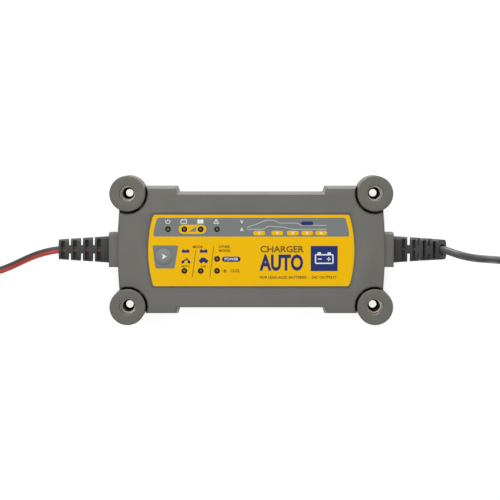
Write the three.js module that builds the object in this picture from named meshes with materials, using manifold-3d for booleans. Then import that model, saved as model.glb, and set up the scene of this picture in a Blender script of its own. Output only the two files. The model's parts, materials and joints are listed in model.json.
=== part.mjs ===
// A car battery charger, in millimetres, lying on its back with +Z up.
// +X runs along the case towards the mains lead, +Y across it, and the origin is
// on the ground under the middle of the case.

import * as THREE from 'three';
import { mergeVertices } from 'three/addons/utils/BufferGeometryUtils.js';
import Module from 'manifold-3d';

const wasm = await Module();
wasm.setup();

// ---- driving dimensions -------------------------------------------------------

const touch = 0.3; // clearance between two pieces that meet

// case, measured at the plane where its two halves meet
const caseLength = 189.6;
const caseWidth = 90.4;
const caseBackHeight = 1.2;
const caseFrontHeight = 49;
const partingHeight = 25;
const wall = 2.5;
const wallDraft = 1.2; // how far a side leans in between the parting plane and its face
const caseEdge = 0.8;
const endBulge = 1.2;
const waistDepth = 4.1;
const waistHalfLength = 50.3;
const waistSlope = 1.4;
const sealInset = 1.2;
const sealDepth = 0.7;
const pryNotch = { y: 15.4, width: 3.2, reach: 2.6, depth: 2 }; // in the left end's front edge

// round corner bumpers
const bumperInset = { x: 7.95, y: 5.4 }; // from the case's end and side to a bumper's middle
const bumperX = caseLength / 2 - bumperInset.x;
const bumperY = caseWidth / 2 - bumperInset.y;
const bumperRadius = 12.6;
const bumperLength = 50;
const bumperGap = 0.5; // between a bumper and the case at the parting plane
const bumperEdge = 0.8;
const screwHeadBore = 5.45; // radii of the stepped mounting hole
const washerBore = 4.3;
const mountingScrewBore = 3;
const screwHeadSeat = 28;
const washerSeat = 6;
const studRadius = 3;
const studHeadRadius = 4.5;
const studHeadLength = 2;
const studOffset = 12; // above and below the parting plane

// cable collars and boots
const collarLength = 5.6; // beyond the case's end
const collarEnd = caseLength / 2 + collarLength;
const collarHalfWidth = 12.2;
const collarDraft = 0.4;
const collarFrontHeight = 46;
const cableHeight = 25;
const neckHalfWidth = 6;
const neckHalfHeight = 5;
const flangeThickness = 2.4;
const flangeOverlap = 2.6;
const bootLength = 35.5;
const bootBaseHalfWidth = 9.25;
const bootBaseHalfHeight = 8;
const bootTipHalfWidth = 7;
const bootTipHalfHeight = 6.2;
const bootFirstSlot = 5.6;
const bootSlotPitch = 4.25;
const bootSlotCount = 7;
const bootFaceSlot = 2.5; // widths of the slots through the faces and the sides
const bootSideSlot = 1.9;
const bootSideWall = 1.2;
const bootMouth = { margin: 0.8, depth: 1.2 }; // the wider end of the bore at the tip
const mainsBendStart = 8;
const mainsBendAngle = 0.58; // how far the mains boot's tip is turned up, in radians

// cables
const mainsDiameter = 5.6;
const twinWidth = 5.2;
const twinThickness = 2.8;
const clampWireDiameter = 2.6;
const mainsCoil = { x: 226, y: -45.8, radius: 32, columns: 2, layers: 4 };
const twinCoil = { x: -212, y: -43, radius: 21.5, columns: 2, layers: 6 };

// label
const labelHalfWidth = 25.05;
const labelEndMargin = 22.6; // from the case's end to the label's
const labelHalfLength = caseLength / 2 - labelEndMargin;
const labelEndBulge = 3.6;
const labelCornerRadius = 1.5;
const labelThickness = 0.4;
const pocketMargin = 1.4;
const pocketDepth = 1;

// indicator lights and mode button
const firstLight = 13.85; // from the label's left end
const lightPitch = 11.45;
const lightColumns = [0, 1, 2, 3].map((i) => firstLight + lightPitch * i - labelHalfLength);
const lightRows = { top: 14.85, middle: -5.95, low: -14.35 };
const lightPlaces = [
  ['led_power', 0, 'top'], ['led_charging', 1, 'top'], ['led_charged', 2, 'top'],
  ['led_fault', 3, 'top'], ['led_supply', 3, 'middle'], ['led_motorcycle', 1, 'low'],
  ['led_car', 2, 'low'], ['led_winter', 3, 'low'],
];
const lightBore = 2.1;
const lightRadius = 1.5;
const lightSetBack = 1; // the lens tip below the label's face
const buttonInset = 10.75; // from the label's left end
const buttonX = buttonInset - labelHalfLength;
const buttonY = -4.2;
const buttonRadius = 6;
const buttonFlange = 1.4;
const buttonTravel = 0.5;
const buttonRise = 0.55; // the dome above the label's face
const switchHalf = 3.1;
const switchHeight = 3.2;
const plungerRadius = 1.6;
const plungerRise = 1;

// boards, fasteners and electronics
const boardThickness = 1.6;
const controlBoardHeight = 37.4;
const controlBoardInset = 31.2; // from the label's left end to the board's middle
const controlBoardX = controlBoardInset - labelHalfLength;
const controlBoardHalfLength = 28;
const controlBoardHalfWidth = 21;
const stakeInset = 3;
const stakeRadius = 1.2;
const stakeShoulder = 2.4;
const mainBoardHeight = 9;
const mainBoardMargin = { x: 18.8, y: 17.2 }; // from the case's end and side
const mainBoardHalfLength = caseLength / 2 - mainBoardMargin.x;
const mainBoardHalfWidth = caseWidth / 2 - mainBoardMargin.y;
const mainBoardCorner = 12;
const caseScrewInset = { x: 34.8, y: 10.2 }; // from the case's end and side
const caseScrewX = caseLength / 2 - caseScrewInset.x;
const caseScrewY = caseWidth / 2 - caseScrewInset.y;
const caseScrewRadius = 1.5;
const caseScrewHeadRadius = 2.8;
const caseScrewHeadHeight = 2;
const caseScrewWell = 10.5; // depth of the screw wells in the back
const caseScrewLength = 22;
const bossRadius = 4.5;
const postRadius = 3.5;
const boardPostInset = [16, 6]; // from the main board's end and side
const boardScrewRadius = 1.2;
const boardScrewHead = { radius: 2.5, height: 1.8, length: 6 };
const terminalInset = 8; // from the main board's end
const terminalHalfLength = 5;
const terminal = { halfWidth: 7.5, height: 11, way: 3.8, screwRadius: 1.9, screwDepth: 3 };
const terminalMouth = { low: 2, high: 6, halfWidth: 1.8, depth: 4.5 };
const core = { x: 16, halfX: 14, halfY: 12, height: 24, leg: 5, web: 4 };
const windingCorner = 3;
const mainsCan = { x: 44, y: -14, radius: 8, height: 22 };
const outputCan = { x: -46, y: -14, radius: 6.3, height: 20 };
const canGroove = { height: 2, depth: 0.6 };
const sink = { x: -24, inset: 6, length: 48, height: 22, back: 2, reach: 5, fin: 1.2, pitch: 6 };
const device = { halfWidth: 5, depth: 4.5, low: 4, high: 13, tab: 1.3, tabTop: 19 };
const deviceLeg = { pitch: 2.54, halfWidth: 0.4, depth: [-2.8, -2] };
const devicePlaces = [['power_transistor', -12], ['output_diode', -36]];
const choke = { x: -22, y: -12, radius: 7, wireRadius: 3.2 };
const fuse = { x: 58, y: 8, radius: 2.3, length: 20, capRadius: 2.6, capLength: 5 };
const link = { y: 15.5, halfLength: 10, halfThickness: 1.3 };

// two-pin mains plug
const plugBearing = 1.771; // from the mains coil's middle to the plug's tail, in radians
const plugClearance = 3.83; // between the coil and the plug's tail
const plugDistance = (
  mainsCoil.radius + (mainsCoil.columns * mainsDiameter) / 2 + touch + plugClearance
);
const plugX = mainsCoil.x + plugDistance * Math.cos(plugBearing);
const plugY = mainsCoil.y + plugDistance * Math.sin(plugBearing);
const plugTurn = Math.PI / 4;
const plugLength = 36;
const plugHalfWidth = 13;
const plugThickness = 13.7;
const plugTailLength = 11;
const plugTailHalf = 4.5; // half the tail's width and height
const plugShoulder = { waist: 4, first: 8, last: 20 }; // widening from the tail
const pinSeat = 3; // how far a pin starts inside the body
const pinRadius = 2;
const pinLength = 19;
const pinSpacing = 18.6;

// battery clamps
const clampJaw = 29;
const clampHandle = 38;
const clampHeight = 12;
const clampHalfWidth = 13;
const clampKnuckle = 4.6;
const clampPinRadius = 1.6;
const clampX = -239;
const redClampY = 17;
const blackClampY = 46;

// values that follow from the ones above
const rimLow = partingHeight - touch / 2;
const rimHigh = partingHeight + touch / 2;
const innerFront = caseFrontHeight - pocketDepth - 2;
const innerBack = caseBackHeight + wall;
const bootBase = collarEnd + touch;
const flangeHalfWidth = neckHalfWidth + flangeOverlap;
const flangeHalfHeight = neckHalfHeight + flangeOverlap;
const endLean = (wallDraft * (flangeHalfHeight + 1)) / (rimLow - innerBack);
const endSag = endBulge * (flangeHalfWidth / (bumperY - bumperRadius)) ** 2;
const flangeFace = caseLength / 2 - wall - endLean - endSag - touch; // clear of the end wall
const pocketFloor = caseFrontHeight - pocketDepth;
const labelTop = pocketFloor + touch + labelThickness;
const controlBoardTop = controlBoardHeight + boardThickness;
const mainBoardTop = mainBoardHeight + boardThickness;
const switchBase = controlBoardTop + touch;
const switchPlungerTop = switchBase + switchHeight + plungerRise;
const terminalX = mainBoardHalfLength - terminalInset;
const terminalFace = terminalX + terminalHalfLength + 1;
const knuckleBand = [clampHeight * 0.24, clampHeight * 0.44];

// ---- shape helpers --------------------------------------------------------------

function toSolid(geometry) {
  const bare = geometry.clone();
  bare.deleteAttribute('normal');
  bare.deleteAttribute('uv');
  const merged = mergeVertices(bare, 1e-4);
  return new wasm.Manifold(new wasm.Mesh({
    numProp: 3,
    vertProperties: new Float32Array(merged.attributes.position.array),
    triVerts: new Uint32Array(merged.index.array),
  }));
}

function combine(base, added, removed) {
  let solid = toSolid(base);
  for (const piece of added) solid = solid.add(toSolid(piece));
  for (const piece of removed) solid = solid.subtract(toSolid(piece));
  const mesh = solid.getMesh();
  const geometry = new THREE.BufferGeometry();
  const positions = new Float32Array(mesh.vertProperties);
  geometry.setAttribute('position', new THREE.BufferAttribute(positions, 3));
  geometry.setIndex(new THREE.BufferAttribute(new Uint32Array(mesh.triVerts), 1));
  return geometry;
}

// A block between two corners, each [x, y, z].
function block(low, high) {
  const size = high.map((value, axis) => value - low[axis]);
  const middle = high.map((value, axis) => (value + low[axis]) / 2);
  return new THREE.BoxGeometry(...size).translate(...middle);
}

// An upright rod between two heights.
function rod(radius, low, high, x = 0, y = 0, sides = 16) {
  const cylinder = new THREE.CylinderGeometry(radius, radius, high - low, sides);
  return cylinder.rotateX(Math.PI / 2).translate(x, y, (low + high) / 2);
}

// A round solid about the Z axis, from its [radius, height] outline.
function turned(outline, sides = 24) {
  const points = outline.map(([radius, height]) => new THREE.Vector2(radius, height));
  return new THREE.LatheGeometry(points, sides).rotateX(Math.PI / 2);
}

// A solid through rings of points that have the same number of points each.
function loft(rings) {
  const count = rings[0].length;
  const index = [];
  for (let ring = 0; ring + 1 < rings.length; ring += 1) {
    for (let i = 0; i < count; i += 1) {
      const a = ring * count + i;
      const b = ring * count + ((i + 1) % count);
      index.push(a, b, b + count, a, b + count, a + count);
    }
  }
  const flat = (ring) => ring.map((point) => new THREE.Vector2(point.x, point.y));
  const last = (rings.length - 1) * count;
  for (const [a, b, c] of THREE.ShapeUtils.triangulateShape(flat(rings[0]), [])) {
    index.push(c, b, a);
  }
  for (const [a, b, c] of THREE.ShapeUtils.triangulateShape(flat(rings.at(-1)), [])) {
    index.push(a + last, b + last, c + last);
  }
  const geometry = new THREE.BufferGeometry().setFromPoints(rings.flat());
  return geometry.setIndex(index);
}

function raise(outline, height) {
  return outline.map((point) => new THREE.Vector3(point.x, point.y, height));
}

function extrude(shape, depth, curveSegments = 6) {
  return new THREE.ExtrudeGeometry(shape, { depth, bevelEnabled: false, curveSegments });
}

// A rectangle about the origin with its corners rounded.
function roundedRectangle(halfX, halfY, radius) {
  const shape = new THREE.Shape();
  shape.absarc(halfX - radius, halfY - radius, radius, 0, Math.PI / 2);
  shape.absarc(radius - halfX, halfY - radius, radius, Math.PI / 2, Math.PI);
  shape.absarc(radius - halfX, radius - halfY, radius, Math.PI, 1.5 * Math.PI);
  shape.absarc(halfX - radius, radius - halfY, radius, 1.5 * Math.PI, 2 * Math.PI);
  shape.closePath();
  return shape;
}

function material(color, roughness, metalness = 0) {
  return new THREE.MeshStandardMaterial({ color, roughness, metalness });
}

const materials = {
  case: material('#65655f', 0.7),
  bumper: material('#6b6a64', 0.75),
  seal: material('#3a3a3a', 0.8),
  label: material('#eab200', 0.45),
  button: material('#7d827f', 0.5),
  lens: material('#303236', 0.15),
  board: material('#1f5c3a', 0.6),
  black: material('#1c1c1e', 0.5),
  boot: material('#3b3b3b', 0.7),
  cable: material('#454546', 0.6),
  redCable: material('#b5342b', 0.5),
  redPlastic: material('#b3261e', 0.45),
  blackPlastic: material('#232325', 0.45),
  ferrite: material('#3c3d40', 0.8),
  tape: material('#d8b33a', 0.5),
  copper: material('#b4682f', 0.35, 0.9),
  aluminium: material('#a9abad', 0.4, 0.9),
  can: material('#22355f', 0.35),
  terminal: material('#2f7a4b', 0.5),
  glass: material('#d9d9d2', 0.2),
  steel: material('#b9babc', 0.35, 0.95),
  brass: material('#c9b27a', 0.3, 0.95),
};

function piece(name, geometry, surface, parent = charger) {
  const mesh = new THREE.Mesh(geometry, surface);
  mesh.name = name;
  parent.add(mesh);
  return mesh;
}

const charger = new THREE.Group();

// ---- case -------------------------------------------------------------------------

// The case's outline, moved in from the one at the parting plane.
function caseOutline(inset) {
  const halfX = caseLength / 2 - inset;
  const halfY = caseWidth / 2 - inset;
  const notchRadius = bumperRadius + bumperGap + inset;
  const cornerX = halfX - endBulge;
  const cornerY = bumperY - Math.sqrt(notchRadius ** 2 - (cornerX - bumperX) ** 2);
  const quarter = [];

  const endRadius = (cornerY ** 2 + endBulge ** 2) / (2 * endBulge);
  const endAngle = Math.asin(cornerY / endRadius);
  const endSteps = 3;
  for (let i = 0; i < endSteps; i += 1) {
    const angle = (endAngle * i) / endSteps;
    quarter.push([halfX - endRadius * (1 - Math.cos(angle)), endRadius * Math.sin(angle)]);
  }

  const first = Math.atan2(cornerY - bumperY, cornerX - bumperX);
  const last = Math.asin((halfY - bumperY) / notchRadius) * -1 - Math.PI;
  const notchSteps = 7;
  for (let i = 0; i <= notchSteps; i += 1) {
    const angle = first + ((last - first) * i) / notchSteps;
    quarter.push([
      bumperX + notchRadius * Math.cos(angle),
      bumperY + notchRadius * Math.sin(angle),
    ]);
  }

  quarter.push([waistHalfLength + inset + waistSlope, halfY]);
  quarter.push([waistHalfLength + inset, halfY - waistDepth]);

  const mirrored = quarter.map(([x, y]) => [-x, y]).reverse();
  const upper = [...quarter, ...mirrored.slice(0, -1)];
  const lower = upper.map(([x, y]) => [-x, -y]);
  return [...upper, ...lower].map(([x, y]) => new THREE.Vector2(x, y));
}

function collarOutline(inset, side) {
  const root = (caseLength / 2 - wall) * side;
  const end = (collarEnd - inset) * side;
  const half = (collarHalfWidth - inset) * side;
  return [[root, -half], [end, -half], [end, half], [root, half]]
    .map(([x, y]) => new THREE.Vector2(x, y));
}

// A block whose sides lean in from the rim to the face, with a chamfered edge there.
function drafted(outline, rim, face, draft) {
  const way = Math.sign(face - rim);
  const rings = [raise(outline(0), rim)];
  rings.push(raise(outline(draft), face - way * caseEdge));
  rings.push(raise(outline(draft + caseEdge), face));
  return loft(way > 0 ? rings : rings.reverse());
}

// The hollow of one case half, open at the rim.
function cavity(rim, inner) {
  const rings = [
    raise(caseOutline(wall), rim - Math.sign(inner - rim)),
    raise(caseOutline(wall + wallDraft), inner),
  ];
  return loft(inner > rim ? rings : rings.reverse());
}

// The step round the inside of a rim that holds the seal.
function sealStep(rim, way) {
  const ends = [rim - way * sealDepth, rim + way * sealDepth].sort((a, b) => a - b);
  return loft(ends.map((height) => raise(caseOutline(sealInset), height)));
}

function collarBores() {
  const height = neckHalfHeight + touch;
  const width = neckHalfWidth + touch;
  return [1, -1].map((side) => {
    const inner = (caseLength / 2 - wall - flangeThickness) * side;
    const outer = (collarEnd + touch) * side;
    return block(
      [Math.min(inner, outer), -width, cableHeight - height],
      [Math.max(inner, outer), width, cableHeight + height],
    );
  });
}

// The corners of the case in order round it, each with the way its bumper's studs point.
const corners = [
  { x: bumperX, y: bumperY, turn: 0 },
  { x: -bumperX, y: bumperY, turn: Math.PI / 2 },
  { x: -bumperX, y: -bumperY, turn: Math.PI },
  { x: bumperX, y: -bumperY, turn: -Math.PI / 2 },
];

// A rod that lies along a bumper's inward diagonal, for a bumper at the origin.
function diagonalRod(radius, from, to, height, sides = 10) {
  const cylinder = new THREE.CylinderGeometry(radius, radius, to - from, sides);
  return cylinder.translate(0, (from + to) / 2, 0)
    .rotateZ(Math.PI / 2 + Math.PI / 4)
    .translate(0, 0, height);
}

const studHeights = [partingHeight + studOffset, partingHeight - studOffset];

function studHoles(height) {
  const reach = bumperRadius + bumperGap + 2 * wall + wallDraft;
  return corners.map(({ x, y, turn }) => (
    diagonalRod(studRadius + touch, bumperRadius - 1, reach, height)
      .rotateZ(turn)
      .translate(x, y, 0)
  ));
}

const bossPlaces = [[1, 1], [-1, 1], [-1, -1], [1, -1]]
  .map(([x, y]) => [caseScrewX * x, caseScrewY * y]);

function labelOutline(margin) {
  const half = labelHalfWidth + margin;
  const middle = labelHalfLength + margin;
  const corner = middle - labelEndBulge;
  const radius = (half ** 2 + labelEndBulge ** 2) / (2 * labelEndBulge);
  const angle = Math.asin(half / radius) - labelCornerRadius / radius;
  const shape = new THREE.Shape();
  shape.absarc(middle - radius, 0, radius, -angle, angle);
  shape.quadraticCurveTo(corner, half, corner - labelCornerRadius, half);
  shape.lineTo(labelCornerRadius - corner, half);
  shape.quadraticCurveTo(-corner, half, -corner, half - labelCornerRadius);
  shape.absarc(radius - middle, 0, radius, Math.PI - angle, Math.PI + angle);
  shape.quadraticCurveTo(-corner, -half, labelCornerRadius - corner, -half);
  shape.lineTo(corner - labelCornerRadius, -half);
  shape.quadraticCurveTo(corner, -half, corner, labelCornerRadius - half);
  return shape;
}

function lightHoles(low, high) {
  return lightPlaces.map(([, column, row]) => (
    rod(lightBore, low, high, lightColumns[column], lightRows[row], 12)
  ));
}

const stakePlaces = [[1, 1], [-1, 1], [-1, -1], [1, -1]].map(([x, y]) => [
  controlBoardX + (controlBoardHalfLength - stakeInset) * x,
  (controlBoardHalfWidth - stakeInset) * y,
]);

// The notch that a blade goes into to part the case.
function pryCut() {
  const end = -caseLength / 2;
  return block(
    [end - 1, pryNotch.y - pryNotch.width / 2, caseFrontHeight - pryNotch.depth],
    [end + pryNotch.reach, pryNotch.y + pryNotch.width / 2, caseFrontHeight + 1],
  );
}

function frontCover() {
  const outside = drafted(caseOutline, rimHigh, caseFrontHeight, wallDraft);
  const collars = [1, -1].map((side) => (
    drafted((inset) => collarOutline(inset, side), rimHigh, collarFrontHeight, collarDraft)
  ));
  const posts = stakePlaces.flatMap(([x, y]) => [
    rod(stakeShoulder, controlBoardTop + touch, innerFront + 1, x, y, 12),
    rod(stakeRadius, controlBoardHeight - 1, innerFront + 1, x, y, 12),
  ]);
  const bosses = bossPlaces.map(([x, y]) => rod(bossRadius, rimHigh, innerFront + 1, x, y));
  const screwHoles = bossPlaces.map(([x, y]) => {
    const top = caseBackHeight + caseScrewWell + caseScrewLength + touch;
    return rod(caseScrewRadius + touch, rimHigh - 1, top, x, y, 12);
  });
  const pocket = extrude(labelOutline(pocketMargin), pocketDepth + 1, 10)
    .translate(0, 0, pocketFloor);
  const buttonHole = rod(buttonRadius + touch, innerFront - 1, caseFrontHeight, buttonX, buttonY);
  const hollow = combine(outside, collars, [cavity(rimHigh, innerFront), sealStep(rimHigh, 1)]);
  return combine(hollow, [...posts, ...bosses], [
    pocket, buttonHole, pryCut(), ...screwHoles, ...collarBores(),
    ...lightHoles(innerFront - 1, caseFrontHeight), ...studHoles(studHeights[0]),
  ]);
}

const boardPosts = [[1, 1], [-1, 1], [-1, -1], [1, -1]].map(([x, y]) => [
  (mainBoardHalfLength - boardPostInset[0]) * x,
  (mainBoardHalfWidth - boardPostInset[1]) * y,
]);

function backCover() {
  const outside = drafted(caseOutline, rimLow, caseBackHeight, wallDraft);
  const collars = [1, -1].map((side) => (
    drafted((inset) => collarOutline(inset, side), rimLow, caseBackHeight, collarDraft)
  ));
  const posts = boardPosts.map(([x, y]) => (
    rod(postRadius, innerBack - 1, mainBoardHeight - touch, x, y, 16)
  ));
  const bosses = bossPlaces.map(([x, y]) => rod(bossRadius, innerBack - 1, rimLow, x, y));
  const wells = bossPlaces.flatMap(([x, y]) => [
    rod(caseScrewHeadRadius + touch, caseBackHeight - 1, caseBackHeight + caseScrewWell, x, y, 16),
    rod(caseScrewRadius + touch, caseBackHeight, rimLow + 1, x, y, 12),
  ]);
  const boardHoles = boardPosts.map(([x, y]) => (
    rod(boardScrewRadius + touch, innerBack, mainBoardHeight, x, y, 12)
  ));
  const hollow = combine(outside, collars, [cavity(rimLow, innerBack), sealStep(rimLow, -1)]);
  return combine(hollow, [...posts, ...bosses], [
    ...wells, ...boardHoles, ...collarBores(), ...studHoles(studHeights[1]),
  ]);
}

// Half of the case's seal: a strip in the rims from one collar to the other.
function sealStrip(side) {
  const ring = new THREE.Shape(caseOutline(sealInset + touch));
  ring.holes.push(new THREE.Path(caseOutline(wall)));
  const height = 2 * (sealDepth - touch) + touch;
  const band = extrude(ring, height).translate(0, 0, partingHeight - height / 2);
  const clear = neckHalfWidth + 2 * touch;
  const reach = caseLength;
  return combine(band, [], [block(
    [-reach, side > 0 ? -reach : -clear, 0],
    [reach, side > 0 ? clear : reach, caseFrontHeight],
  )]);
}

function caseScrew() {
  return turned([
    [0, -caseScrewHeadHeight], [caseScrewHeadRadius, -caseScrewHeadHeight],
    [caseScrewHeadRadius, -0.6], [caseScrewHeadRadius - 0.4, 0], [caseScrewRadius, 0],
    [caseScrewRadius, caseScrewLength - 1], [0.4, caseScrewLength], [0, caseScrewLength],
  ], 12);
}

function addCase() {
  piece('front_cover', frontCover(), materials.case);
  piece('back_cover', backCover(), materials.case);
  piece('upper_case_seal', sealStrip(1), materials.seal);
  piece('lower_case_seal', sealStrip(-1), materials.seal);
  bossPlaces.forEach(([x, y], i) => {
    const screw = piece(`case_screw_${i + 1}`, caseScrew(), materials.steel);
    screw.position.set(x, y, caseBackHeight + caseScrewWell - touch);
  });
}

// ---- corner bumpers -----------------------------------------------------------------

function cornerBumper() {
  const edge = bumperEdge;
  const body = turned([
    [mountingScrewBore, 0], [bumperRadius - edge, 0], [bumperRadius, edge],
    [bumperRadius, bumperLength - edge], [bumperRadius - edge, bumperLength],
    [screwHeadBore, bumperLength], [screwHeadBore, screwHeadSeat], [washerBore, screwHeadSeat],
    [washerBore, washerSeat], [mountingScrewBore, washerSeat], [mountingScrewBore, 0],
  ], 28);
  const headShare = studOffset / (caseFrontHeight - partingHeight);
  const innerWall = bumperRadius + bumperGap + wallDraft * headShare + wall;
  const headStart = innerWall + 2 * touch;
  const studs = studHeights.flatMap((height) => [
    diagonalRod(studRadius, (bumperRadius + washerBore) / 2, headStart + 1, height),
    diagonalRod(studHeadRadius, headStart, headStart + studHeadLength, height),
  ]);
  return combine(body, studs, []);
}

function addBumpers() {
  corners.forEach(({ x, y, turn }, i) => {
    const bumper = piece(`corner_bumper_${i + 1}`, cornerBumper(), materials.bumper);
    bumper.position.set(x, y, 0);
    bumper.rotation.z = turn;
  });
}

// ---- label, lights and mode button ---------------------------------------------------

function labelOverlay() {
  const base = pocketFloor + touch;
  const film = extrude(labelOutline(0), labelThickness, 10).translate(0, 0, base);
  const buttonHole = rod(buttonRadius + touch, base - 1, labelTop + 1, buttonX, buttonY);
  return combine(film, [], [buttonHole, ...lightHoles(base - 1, labelTop + 1)]);
}

function indicatorLight() {
  const height = labelTop - lightSetBack - controlBoardTop - touch;
  const shoulder = height - 4.6;
  const dome = lightRadius * 0.7;
  return turned([
    [0, 0], [lightRadius + 0.2, 0], [lightRadius + 0.2, shoulder], [lightRadius, shoulder + 0.4],
    [lightRadius, height - lightRadius], [dome, height - lightRadius + dome],
    [0, height],
  ], 12);
}

function modeButton() {
  const flangeTop = innerFront - touch;
  const flangeLow = flangeTop - 1;
  const stemLow = switchPlungerTop + touch;
  return turned([
    [0, stemLow], [1.8, stemLow], [1.8, flangeLow], [buttonRadius + buttonFlange, flangeLow],
    [buttonRadius + buttonFlange, flangeTop], [buttonRadius, flangeTop],
    [buttonRadius, labelTop], [buttonRadius * 0.72, labelTop + buttonRise * 0.64],
    [buttonRadius * 0.35, labelTop + buttonRise * 0.91], [0, labelTop + buttonRise],
  ], 24);
}

function tactSwitch() {
  const top = switchBase + switchHeight;
  const body = block([-switchHalf, -switchHalf, switchBase], [switchHalf, switchHalf, top]);
  const well = rod(plungerRadius + touch, top - 3 * buttonTravel - touch, top + 1, 0, 0, 16);
  return combine(body, [], [well]);
}

function controlBoard() {
  const board = block(
    [controlBoardX - controlBoardHalfLength, -controlBoardHalfWidth, controlBoardHeight],
    [controlBoardX + controlBoardHalfLength, controlBoardHalfWidth, controlBoardTop],
  );
  const holes = stakePlaces.map(([x, y]) => (
    rod(stakeRadius + touch, controlBoardHeight - 1, controlBoardTop + 1, x, y, 12)
  ));
  return combine(board, [], holes);
}

function addControls() {
  piece('label_overlay', labelOverlay(), materials.label);
  piece('control_board', controlBoard(), materials.board);
  for (const [name, column, row] of lightPlaces) {
    const light = piece(name, indicatorLight(), materials.lens);
    light.position.set(lightColumns[column], lightRows[row], controlBoardTop + touch);
  }
  const button = new THREE.Group();
  button.position.set(buttonX, buttonY, 0);
  charger.add(button);
  const plungerBottom = switchBase + switchHeight - 2 * buttonTravel;
  const plunger = rod(plungerRadius, plungerBottom, switchPlungerTop, 0, 0, 16);
  piece('mode_button', modeButton(), materials.button, button);
  piece('switch_plunger', plunger, materials.black, button);
  piece('tact_switch', tactSwitch(), materials.black, button);
}

// ---- main board and what stands on it -------------------------------------------------

function mainBoard() {
  const [x, y, corner] = [mainBoardHalfLength, mainBoardHalfWidth, mainBoardCorner];
  const outline = new THREE.Shape([
    [corner - x, -y], [x - corner, -y], [x, corner - y], [x, y - corner],
    [x - corner, y], [corner - x, y], [-x, y - corner], [-x, corner - y],
  ].map((point) => new THREE.Vector2(...point)));
  const board = extrude(outline, boardThickness).translate(0, 0, mainBoardHeight);
  const holes = boardPosts.map(([x, y]) => (
    rod(boardScrewRadius + touch, mainBoardHeight - 1, mainBoardTop + 1, x, y, 12)
  ));
  return combine(board, [], holes);
}

function transformerCore() {
  const frame = block([-core.halfX, -core.halfY, 0], [core.halfX, core.halfY, core.height]);
  const windows = [1, -1].map((side) => {
    const ends = [core.leg * side, (core.halfX - core.web) * side].sort((a, b) => a - b);
    return block(
      [ends[0], -core.halfY - 1, core.web],
      [ends[1], core.halfY + 1, core.height - core.web],
    );
  });
  return combine(frame, [], windows);
}

function transformerWinding() {
  const halfX = core.halfX - core.web - touch;
  const halfY = core.halfY + (halfX - core.leg);
  const low = core.web + touch;
  const high = core.height - core.web - touch;
  const outline = roundedRectangle(halfX, halfY, windingCorner);
  const coil = extrude(outline, high - low, 4).translate(0, 0, low);
  const hole = block(
    [-core.leg - touch, -core.halfY - touch, 0],
    [core.leg + touch, core.halfY + touch, core.height],
  );
  return combine(coil, [], [hole]);
}

function canCapacitor({ radius, height }) {
  const groove = canGroove.height;
  const waist = radius - canGroove.depth;
  return turned([
    [0, 0], [radius, 0], [radius, groove - 0.5], [waist, groove], [radius, groove + 0.5],
    [radius, height - canGroove.depth], [waist, height], [0, height],
  ], 20);
}

function heatSink() {
  const end = sink.length / 2;
  const base = block([-end, 0, 0], [end, sink.back, sink.height]);
  const fins = [];
  const finCount = Math.floor(sink.length / sink.pitch);
  for (let i = 0; i <= finCount; i += 1) {
    const x = -end + ((sink.length - sink.fin) * i) / finCount;
    fins.push(block([x, sink.back - 1, 0], [x + sink.fin, sink.reach, sink.height]));
  }
  return combine(base, fins, []);
}

function powerPackage() {
  const half = device.halfWidth;
  const body = block([-half, -device.depth, device.low], [half, 0, device.high]);
  const tab = block([-half, -device.tab, device.high - 1], [half, 0, device.tabTop]);
  const [front, back] = deviceLeg.depth;
  const legs = [-1, 0, 1].map((side) => block(
    [side * deviceLeg.pitch - deviceLeg.halfWidth, front, 0],
    [side * deviceLeg.pitch + deviceLeg.halfWidth, back, device.low + 1],
  ));
  return combine(body, [tab, ...legs], []);
}

function terminalBlock() {
  const { halfWidth, height, way, screwRadius, screwDepth } = terminal;
  const mouth = terminalMouth;
  const body = block(
    [-terminalHalfLength, -halfWidth, 0],
    [terminalHalfLength, halfWidth, height],
  );
  const wells = [-way, way].flatMap((y) => [
    rod(screwRadius, height - screwDepth, height + 1, 0, y, 12),
    block(
      [terminalHalfLength - mouth.depth, y - mouth.halfWidth, mouth.low],
      [terminalHalfLength + 1, y + mouth.halfWidth, mouth.high],
    ),
  ]);
  return combine(body, [], wells);
}

function mainsFuse() {
  const { radius, length, capRadius, capLength } = fuse;
  const glass = new THREE.CylinderGeometry(radius, radius, length, 12);
  const caps = [-1, 1].map((side) => (
    new THREE.CylinderGeometry(capRadius, capRadius, capLength, 12)
      .translate(0, (side * (length - capLength + 1)) / 2, 0)
  ));
  return combine(glass, caps, []);
}

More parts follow.
